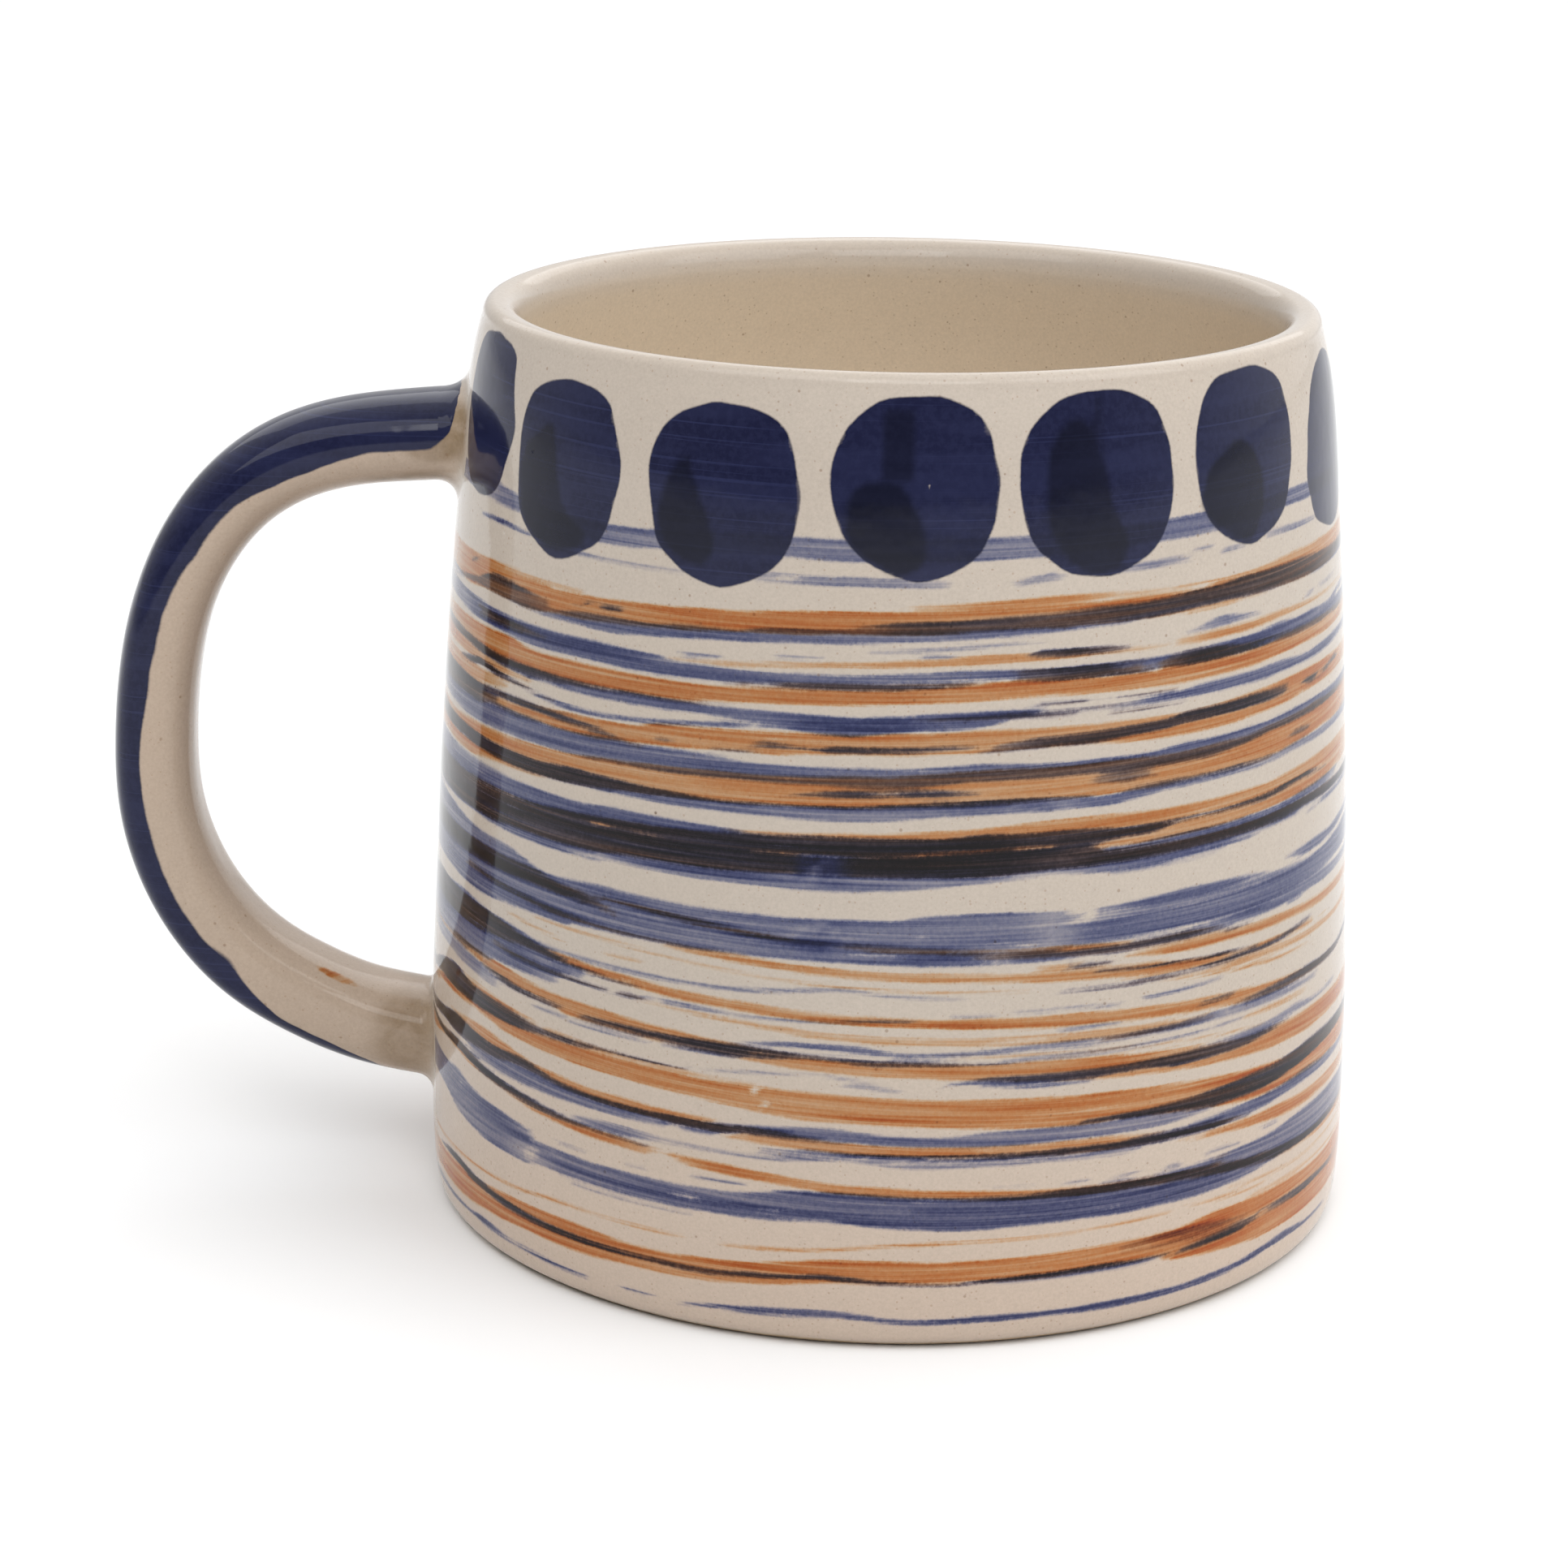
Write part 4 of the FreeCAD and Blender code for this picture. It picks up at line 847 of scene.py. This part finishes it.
def build_slip(name, at_start, size_out, size_in, seed):
    """The slip wiped round one end of the handle: a hollow fillet from the handle's surface to the wall."""
    fx, fz, total = handle_frame()
    a = np.arange(NA) * 2 * np.pi / NA
    s0 = root_s(fx, fz, total, a, at_start)
    A0 = handle_point(fx, fz, total, s0, a)
    sgn = 1.0 if at_start else -1.0
    # radius of the fillet round the section: outer side, inner side, flanks
    size = size_in + (size_out - size_in) * (0.5 + 0.5 * np.cos(a))
    size = size * (1 + 0.10 * noise(np.degrees(a) / 35.0, 0.5, seed) * (np.abs(np.sin(a)) > 0.1))
    # along the handle
    P0 = handle_point(fx, fz, total, s0 + sgn * size, a)
    mid = handle_point(fx, fz, total, s0 + sgn * size * 0.45, a)
    # along the wall, away from the handle
    cen = A0.mean(axis=0)
    out = A0 - cen
    nrm = np.stack([A0[:, 0], A0[:, 1], np.zeros(NA)], -1); nrm /= np.linalg.norm(nrm, axis=1, keepdims=True)
    tang = np.roll(A0, -1, axis=0) - np.roll(A0, 1, axis=0); tang /= np.linalg.norm(tang, axis=1, keepdims=True)
    side = np.cross(tang, nrm); side /= np.linalg.norm(side, axis=1, keepdims=True)
    side *= np.sign((side * out).sum(1))[:, None]

    def on_wall(P, lift):
        r = outer_r(np.clip(P[:, 2], 0.5, 93.6)) + lift
        k = r / np.hypot(P[:, 0], P[:, 1])
        return np.stack([P[:, 0] * k, P[:, 1] * k, P[:, 2]], -1)
    P2 = on_wall(A0 + side * size[:, None], -0.03)
    W = on_wall(A0 + side * size[:, None] * 0.45, 0.02)
    # one ring past each edge, tucked just under the surface, so that the fillet runs out without a visible step
    K0 = handle_point(fx, fz, total, s0 + sgn * (size + 0.7), a); K0 = K0 + (cen + np.array([0.0, 0, 0]) - K0) * 0.022
    K1 = on_wall(A0 + side * (size + 0.7)[:, None], -0.14)
    rings = [K0]
    n = 12
    for i in range(n + 1):
        u = i / n
        # cubic from the handle's surface to the wall, leaving each along it
        rings.append((1 - u) ** 3 * P0 + 3 * (1 - u) ** 2 * u * (mid * 0.85 + A0 * 0.15) + 3 * (1 - u) * u * u * (W * 0.85 + A0 * 0.15) + u ** 3 * P2)
    inner = on_wall(A0 + side * size[:, None] * 0.3, -0.35)
    core = handle_point(fx, fz, total, s0 + sgn * size * 0.3, a); core = cen + (core - cen) * 0.965
    rings += [K1, inner, core]
    verts = np.concatenate(rings) * MM
    m = len(rings)
    faces = []
    for i in range(m):
        b = (i + 1) % m
        for j in range(NA):
            k = (j + 1) % NA
            f = (i * NA + j, i * NA + k, b * NA + k, b * NA + j)
            faces.append(f if at_start else f[::-1])
    ob = new_object(name, verts, faces)
    nv = len(verts)
    P = verts / MM
    # carry the handle's own brushwork over the fillet
    ups = [0.0] + [i / n for i in range(n + 1)] + [1.0, 0.5, 0.0]
    SS = np.concatenate([s0 + sgn * size * (1 - 1.6 * u) for u in ups])
    cov, den, pool = handle_paint(SS, np.tile(a, m), total)
    colour_layer(ob, "cover", cov); colour_layer(ob, "strength", den)
    wall = np.repeat(np.array([smooth(0.25, 1.0, u) for u in ups], float), NA)
    float_layer(ob, "wall", wall)
    float_layer(ob, "pool", pool * (1 - np.repeat(np.array([smooth(0.7, 1.0, u) for u in ups], float), NA))); float_layer(ob, "inside", np.zeros(nv)); float_layer(ob, "bare", np.zeros(nv))
    import bmesh
    bm = bmesh.new(); bm.from_mesh(ob.data); bmesh.ops.recalc_face_normals(bm, faces=bm.faces); bm.to_mesh(ob.data); bm.free()
    return ob


# ------------------------------------------------------------------ materials
def srgb(r, g, b):
    f = lambda c: c / 12.92 if c <= 0.04045 else ((c + 0.055) / 1.055) ** 2.4
    return (f(r / 255), f(g / 255), f(b / 255), 1.0)


class Nodes:
    def __init__(self, mat):
        mat.use_nodes = True
        self.t = mat.node_tree
        self.t.nodes.clear()
        self.x = 0

    def add(self, kind, **kw):
        n = self.t.nodes.new(kind)
        self.x += 30; n.location = (self.x, 0)
        for k, v in kw.items():
            setattr(n, k, v)
        return n

    def put(self, sock, v):
        if hasattr(v, "is_output") or isinstance(v, bpy.types.NodeSocket):
            self.t.links.new(v, sock)
        else:
            sock.default_value = v

    def math(self, op, a, b=None, c=None, clamp=False):
        n = self.add("ShaderNodeMath", operation=op, use_clamp=clamp)
        self.put(n.inputs[0], a)
        if b is not None: self.put(n.inputs[1], b)
        if c is not None: self.put(n.inputs[2], c)
        return n.outputs[0]

    def step(self, lo, hi, v):
        n = self.add("ShaderNodeMapRange", interpolation_type="SMOOTHSTEP", clamp=True)
        self.put(n.inputs["Value"], v); self.put(n.inputs["From Min"], lo); self.put(n.inputs["From Max"], hi)
        n.inputs["To Min"].default_value = 0.0; n.inputs["To Max"].default_value = 1.0
        return n.outputs["Result"]

    def range(self, lo, hi, a, b, v):
        n = self.add("ShaderNodeMapRange", clamp=True)
        self.put(n.inputs["Value"], v); self.put(n.inputs["From Min"], lo); self.put(n.inputs["From Max"], hi)
        n.inputs["To Min"].default_value = a; n.inputs["To Max"].default_value = b
        return n.outputs["Result"]

    def mix(self, fac, a, b, blend="MIX"):
        n = self.add("ShaderNodeMix", data_type="RGBA", blend_type=blend, clamp_factor=True)
        self.put(n.inputs[0], fac); self.put(n.inputs[6], a); self.put(n.inputs[7], b)
        return n.outputs[2]

    def scaled(self, v, s):
        n = self.add("ShaderNodeVectorMath", operation="MULTIPLY")
        self.put(n.inputs[0], v); n.inputs[1].default_value = s
        return n.outputs[0]

    def noise(self, v, scale, detail=2.0, rough=0.5, dist=0.0):
        n = self.add("ShaderNodeTexNoise", noise_dimensions="3D")
        self.put(n.inputs["Vector"], v); n.inputs["Scale"].default_value = scale
        n.inputs["Detail"].default_value = detail; n.inputs["Roughness"].default_value = rough
        n.inputs["Distortion"].default_value = dist
        return n.outputs["Fac"]

    def cells(self, v, scale, rnd=1.0):
        n = self.add("ShaderNodeTexVoronoi", feature="F1", distance="EUCLIDEAN")
        self.put(n.inputs["Vector"], v); n.inputs["Scale"].default_value = scale
        n.inputs["Randomness"].default_value = rnd
        return n.outputs["Distance"], n.outputs["Color"]

    def attr(self, name):
        n = self.add("ShaderNodeAttribute", attribute_type="GEOMETRY", attribute_name=name)
        return n

    def split(self, c):
        n = self.add("ShaderNodeSeparateColor")
        self.put(n.inputs[0], c)
        return n.outputs[0], n.outputs[1], n.outputs[2]


GLAZE = (0.460, 0.402, 0.345, 1)
HANDLE_GLAZE = (0.430, 0.338, 0.262, 1)
GLAZE_WARM = (0.425, 0.345, 0.270, 1)
# inside glaze: its own warmer tone, made much lighter than the outside glaze as painted light against the shade inside
# the cup
INSIDE_TONE_WITH_PAINTED_LIGHT = (0.668, 0.562, 0.430, 1)
INSIDE_WARM_WITH_PAINTED_LIGHT = (0.638, 0.520, 0.380, 1)
POOLED = (0.235, 0.165, 0.100, 1)
ORANGE_K = (0.32, 1.17, 2.20)      # what one coat of each pigment takes from red, green and blue
BLUE_K = (2.40, 2.11, 1.11)
NAVY = (0.0095, 0.0110, 0.0340, 1)
NAVY_LIGHT = (0.0155, 0.0180, 0.0500, 1)
BLACK = (0.004, 0.0045, 0.010, 1)
CLAY = (0.48, 0.37, 0.26, 1)
CLAY_DARK = (0.36, 0.26, 0.17, 1)


def specks(g, co, scale, chance, size, soft=0.35):
    """Mask of scattered grains: a few of the cells, each with its own size."""
    d, c = g.cells(co, scale)
    r1, r2, _ = g.split(c)
    on = g.step(1 - chance - 0.01, 1 - chance + 0.01, r1)
    rad = g.math("MULTIPLY_ADD", r2, size * 0.8, size * 0.35)
    q = g.math("DIVIDE", d, rad)
    return g.math("MULTIPLY", on, g.math("SUBTRACT", 1.0, g.step(1 - soft, 1 + soft, q)))


def glaze_material(name, is_handle=False):
    mat = bpy.data.materials.new(name)
    g = Nodes(mat)
    co = g.add("ShaderNodeTexCoord").outputs["Object"]
    cover = g.attr("cover"); strength = g.attr("strength")
    co_o, co_b, co_n = g.split(cover.outputs["Color"]); co_d = cover.outputs["Alpha"]
    st_o, st_b, st_n = g.split(strength.outputs["Color"]); st_d = strength.outputs["Alpha"]
    inside = g.attr("inside").outputs["Fac"]; bare = g.attr("bare").outputs["Fac"]
    pool = g.attr("pool").outputs["Fac"]

    # clay and glaze: broad cloudiness, fine grain, iron specks of three sizes
    cloud = g.noise(co, 55.0, 3.0, 0.55)
    grain = g.noise(co, 3200.0, 2.0, 0.65)
    mott = g.noise(co, 700.0, 3.0, 0.6)
    # the inside takes the lightened inside colours: painted light against the shade in the cup
    base = g.mix(inside, g.mix(g.attr("wall").outputs["Fac"], HANDLE_GLAZE, GLAZE) if is_handle else GLAZE, INSIDE_TONE_WITH_PAINTED_LIGHT)
    warm = g.math("MULTIPLY_ADD", cloud, 0.9, -0.22, clamp=True)
    base = g.mix(g.math("MULTIPLY", warm, 0.45), base, g.mix(inside, GLAZE_WARM, INSIDE_WARM_WITH_PAINTED_LIGHT))
    base = g.mix(g.math("MULTIPLY", pool, g.range(0.35, 0.60, 0.60, 1.0, g.noise(co, 420.0, 3.0, 0.6, 0.6))), base, POOLED)
    if not is_handle:                       # lighter and warmer towards the foot: painted light standing in for light thrown back up from the floor
        sz = g.add("ShaderNodeSeparateXYZ"); g.put(sz.inputs[0], co)
        low = g.math("MULTIPLY", g.math("SUBTRACT", 1.0, inside), g.step(0.040, 0.002, sz.outputs[2]))
        base = g.mix(g.math("MULTIPLY", low, 0.8), base, (0.520, 0.412, 0.330, 1))
    shade = g.math("MULTIPLY", g.range(0.3, 0.7, 0.94, 1.05, grain), g.range(0.3, 0.7, 0.985, 1.012, mott))
    n = g.add("ShaderNodeVectorMath", operation="SCALE"); g.put(n.inputs[0], base); g.put(n.inputs[3], shade); base = n.outputs[0]
    s1 = specks(g, co, 1000.0, 0.13, 0.15)
    s2 = specks(g, co, 620.0, 0.030, 0.085)
    s3 = specks(g, co, 2100.0, 0.34, 0.22)
    base = g.mix(g.math("MULTIPLY", s3, 0.36), base, (0.27, 0.17, 0.10, 1))
    base = g.mix(g.math("MULTIPLY", s1, 0.50), base, (0.19, 0.11, 0.06, 1))
    base = g.mix(g.math("MULTIPLY", s2, 0.70), base, (0.10, 0.055, 0.03, 1))

    # brushed pigments: each coat takes its share of the light; bristle lines run along the strokes
    sp = g.add("ShaderNodeSeparateXYZ"); g.put(sp.inputs[0], co)
    flow = g.attr("flow").outputs["Fac"] if not is_handle else sp.outputs[2]

    def along(k, f):
        c = g.add("ShaderNodeCombineXYZ")
        g.put(c.inputs[0], g.math("MULTIPLY", sp.outputs[0], k)); g.put(c.inputs[1], g.math("MULTIPLY", sp.outputs[1], k))
        g.put(c.inputs[2], g.math("MULTIPLY", flow, f))
        return c.outputs[0]
    br1 = g.noise(along(30.0, 1900.0), 1.0, 2.0, 0.6)
    br2 = g.noise(along(42.0, 4300.0), 1.0, 2.0, 0.6)
    br3 = g.noise(along(70.0, 750.0), 1.0, 1.0, 0.5)
    tooth = g.noise(co, 2400.0, 3.0, 0.7)
    lines = g.math("MULTIPLY", g.range(0.28, 0.72, 0.49, 1.58, br1), g.range(0.28, 0.72, 0.76, 1.24, br2))
    lines = g.math("MULTIPLY", lines, g.math("MULTIPLY", g.range(0.3, 0.7, 0.80, 1.20, br3), g.range(0.3, 0.7, 0.86, 1.14, tooth)))
    jag = g.math("ADD", g.math("MULTIPLY_ADD", br2, 0.40, -0.20), g.math("MULTIPLY_ADD", tooth, 0.40, -0.20))

    def alpha(c, w=0.30, j=1.0):
        return g.step(0.5 - w, 0.5 + w, g.math("ADD", c, g.math("MULTIPLY", jag, j)))
    den_o = g.math("MULTIPLY", alpha(co_o), g.math("MULTIPLY", st_o, lines))
    lines_b = g.math("MULTIPLY", g.range(0.28, 0.72, 0.55, 1.42, g.noise(along(26.0, 1700.0), 1.0, 2.0, 0.6)), g.range(0.28, 0.72, 0.80, 1.20, br2))
    lines_b = g.math("MULTIPLY", lines_b, g.range(0.3, 0.7, 0.84, 1.16, tooth))
    den_b = g.math("MULTIPLY", alpha(co_b), g.math("MULTIPLY", st_b, lines_b))
    sc = g.add("ShaderNodeSeparateColor"); g.put(sc.inputs[0], base)
    out3 = g.add("ShaderNodeCombineColor")
    for i in range(3):
        k = g.math("MULTIPLY_ADD", den_b, -BLUE_K[i], g.math("MULTIPLY", den_o, -ORANGE_K[i]))
        g.put(out3.inputs[i], g.math("MULTIPLY", sc.outputs[i], g.math("EXPONENT", k)))
    col = out3.outputs[0]
    # dots: flatter and much deeper, with thin pale bristle lines
    thin = g.step(0.60, 0.72, g.noise(along(20.0, 4200.0), 1.0, 1.0, 0.5))
    a_n = g.math("MULTIPLY", alpha(co_n, 0.055, 0.08), g.math("MULTIPLY", st_n, 1.25, clamp=True), clamp=True)
    a_d = g.math("MULTIPLY", alpha(co_d, 0.16, 0.15), st_d, clamp=True)
    navy = g.mix(g.math("MULTIPLY", g.step(0.40, 0.66, g.noise(along(60.0, 420.0), 1.0, 2.0, 0.6)), 0.8), NAVY, NAVY_LIGHT)
    navy = g.mix(g.math("MULTIPLY", g.step(0.40, 0.62, g.noise(co, 1500.0, 3.0, 0.65)), 0.35), navy, (0.020, 0.023, 0.060, 1))
    navy = g.mix(g.math("MULTIPLY", thin, 0.45), navy, (0.028, 0.034, 0.090, 1))
    navy = g.mix(g.math("MULTIPLY", g.math("MULTIPLY", alpha(co_b), st_b, clamp=True), 0.55), navy, BLACK)
    col = g.mix(a_n, col, navy)
    col = g.mix(g.math("MULTIPLY", a_d, 0.8), col, BLACK)
    # bare clay on the foot
    clay = g.mix(g.step(0.3, 0.7, g.noise(co, 900.0, 3.0, 0.6)), CLAY, CLAY_DARK)
    bare_m = g.step(0.4, 0.6, g.math("ADD", bare, g.math("MULTIPLY_ADD", g.noise(co, 900.0, 2.0, 0.5), 0.3, -0.15)))
    col = g.mix(bare_m, col, clay)

    # surface: glassy glaze, faintly rippled, with pinholes; bare clay is dry
    rip = g.noise(co, 260.0, 2.0, 0.5)
    fine_rip = g.noise(g.scaled(co, (1.0, 1.0, 0.35)), 900.0, 2.0, 0.5)
    pits = specks(g, co, 330.0, 0.05, 0.07, 0.5)
    h = g.math("ADD", g.math("MULTIPLY", rip, 0.050), g.math("MULTIPLY", fine_rip, 0.0045))
    h = g.math("SUBTRACT", h, g.math("MULTIPLY", pits, 0.05))
    h = g.math("ADD", h, g.math("MULTIPLY", g.math("MULTIPLY", bare_m, g.noise(co, 2200.0, 3.0, 0.6)), 0.12))
    bump = g.add("ShaderNodeBump"); bump.inputs["Strength"].default_value = 0.6; bump.inputs["Distance"].default_value = 0.001
    g.put(bump.inputs["Height"], h)
    bs = g.add("ShaderNodeBsdfPrincipled")
    g.put(bs.inputs["Base Color"], col)
    rough = g.math("MULTIPLY_ADD", g.noise(co, 120.0, 2.0, 0.5), 0.05, 0.05)
    rough = g.math("ADD", rough, g.math("MULTIPLY", bare_m, 0.72), clamp=True)
    g.put(bs.inputs["Roughness"], rough)
    bs.inputs["IOR"].default_value = 1.50
    bs.inputs["Specular IOR Level"].default_value = 0.19
    g.put(bs.inputs["Normal"], bump.outputs[0])
    out = g.add("ShaderNodeOutputMaterial")
    g.t.links.new(bs.outputs[0], out.inputs[0])
    return mat


def floor_material():
    mat = bpy.data.materials.new("paper_sweep")
    g = Nodes(mat)
    co = g.add("ShaderNodeTexCoord").outputs["Object"]
    col = g.mix(g.step(0.35, 0.65, g.noise(co, 3.0, 2.0, 0.5)), (0.83, 0.83, 0.83, 1), (0.82, 0.82, 0.82, 1))
    bs = g.add("ShaderNodeBsdfPrincipled")
    g.put(bs.inputs["Base Color"], col)
    bs.inputs["Roughness"].default_value = 0.85
    bs.inputs["Specular IOR Level"].default_value = 0.2
    out = g.add("ShaderNodeOutputMaterial")
    g.t.links.new(bs.outputs[0], out.inputs[0])
    return mat


# ------------------------------------------------------------------ build
body_mat = glaze_material("painted_glaze")
handle_mat = glaze_material("handle_glaze", True)

body = build_body()
body.data.materials.append(body_mat)
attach(body, "root"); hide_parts("mug_body")

handle = build_handle()
handle.data.materials.append(handle_mat)
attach(handle, "root"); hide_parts("handle")

upper = build_slip("upper_joint", True, 2.7, 2.6, 301)
upper.data.materials.append(handle_mat)
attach(upper, "root"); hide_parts("upper_joint_slip")
lower = build_slip("lower_joint", False, 1.9, 1.3, 302)
lower.data.materials.append(handle_mat)
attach(lower, "root"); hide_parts("lower_joint_slip")

# ------------------------------------------------------------------ floor, light, camera
me = bpy.data.meshes.new("sweep")
n = 96
ring = [(6.0 * math.cos(2 * math.pi * i / n), 6.0 * math.sin(2 * math.pi * i / n), 0.0) for i in range(n)]
me.from_pydata(ring, [], [tuple(range(n))])
floor = bpy.data.objects.new("sweep", me)
bpy.context.scene.collection.objects.link(floor)
floor.data.materials.append(floor_material())

scene = bpy.context.scene
world = bpy.data.worlds.new("studio")
scene.world = world
world.use_nodes = True
wt = world.node_tree
wt.nodes.clear()
bg = wt.nodes.new("ShaderNodeBackground")
wo = wt.nodes.new("ShaderNodeOutputWorld")
tc = wt.nodes.new("ShaderNodeTexCoord")
sep = wt.nodes.new("ShaderNodeSeparateXYZ")
wt.links.new(tc.outputs["Generated"], sep.inputs[0])


def world_ramp(sock, a, b, lo, hi):
    mr = wt.nodes.new("ShaderNodeMapRange")
    mr.interpolation_type = "SMOOTHSTEP"
    mr.inputs["From Min"].default_value = a; mr.inputs["From Max"].default_value = b
    mr.inputs["To Min"].default_value = lo; mr.inputs["To Max"].default_value = hi
    wt.links.new(sock, mr.inputs["Value"])
    return mr.outputs["Result"]


def world_math(op, a, b):
    m = wt.nodes.new("ShaderNodeMath"); m.operation = op
    for k, v in enumerate((a, b)):
        if isinstance(v, float): m.inputs[k].default_value = v
        else: wt.links.new(v, m.inputs[k])
    return m.outputs[0]


front_back = world_ramp(sep.outputs["Y"], -0.95, 0.30, 0.18, 1.32)     # dark in front, bright behind
left_right = world_ramp(sep.outputs["X"], -0.6, 0.6, 0.46, 0.84)
overhead = world_ramp(sep.outputs["Z"], 0.25, 0.95, 1.0, 1.55)
wt.links.new(world_math("MULTIPLY", world_math("MULTIPLY", front_back, left_right), overhead), bg.inputs["Strength"])
bg.inputs["Color"].default_value = (1, 1, 1, 1)
wt.links.new(bg.outputs[0], wo.inputs[0])


def area(name, loc, target, size, size_y, power, colour=(1, 1, 1)):
    li = bpy.data.lights.new(name, "AREA")
    li.shape = "RECTANGLE"; li.size = size; li.size_y = size_y; li.energy = power; li.color = colour
    ob = bpy.data.objects.new(name, li)
    scene.collection.objects.link(ob)
    d = Vector(target) - Vector(loc)
    ob.matrix_world = Matrix.Translation(Vector(loc)) @ d.to_track_quat("-Z", "Y").to_matrix().to_4x4()
    return ob


area("soft_left", (-0.75, -0.95, 1.55), (0, 0, 0.04), 1.5, 1.1, 12.5)
area("soft_right", (1.15, -0.65, 1.20), (0, 0, 0.04), 1.3, 1.1, 11.5)
area("soft_front", (0.05, -1.35, 1.25), (0, 0, 0.04), 1.0, 0.7, 9.0)
area("soft_back", (0.0, 1.60, 1.30), (0, 0, 0.08), 2.6, 1.3, 9.0)

# camera: fitted to the object's outline; the mug is turned by TURN about its axis
U = 0.00095
yaw, pitch, roll = -0.0281, 0.2858, 0.0130
C = Vector((0, -426.8, 170.8)) * U
fwd = Vector((math.sin(yaw) * math.cos(pitch), math.cos(yaw) * math.cos(pitch), -math.sin(pitch)))
right = Vector((math.cos(yaw), -math.sin(yaw), 0))
up = right.cross(fwd)
r2 = right * math.cos(roll) + up * math.sin(roll)
u2 = up * math.cos(roll) - right * math.sin(roll)
rot = Matrix.Rotation(-math.radians(TURN), 3, "Z")
C, fwd, r2, u2 = rot @ C, rot @ fwd, rot @ r2, rot @ u2
cam_data = bpy.data.cameras.new("camera")
cam = bpy.data.objects.new("camera", cam_data)
scene.collection.objects.link(cam)
m = Matrix((r2, u2, -fwd)).transposed().to_4x4()
m.translation = C
cam.matrix_world = m
cam_data.sensor_width = 36.0
cam_data.lens = 4922.0 * 36.0 / 1932.0
cam_data.clip_start = 0.01
cam_data.clip_end = 100.0
scene.camera = cam
scene.view_settings.view_transform = "Standard"
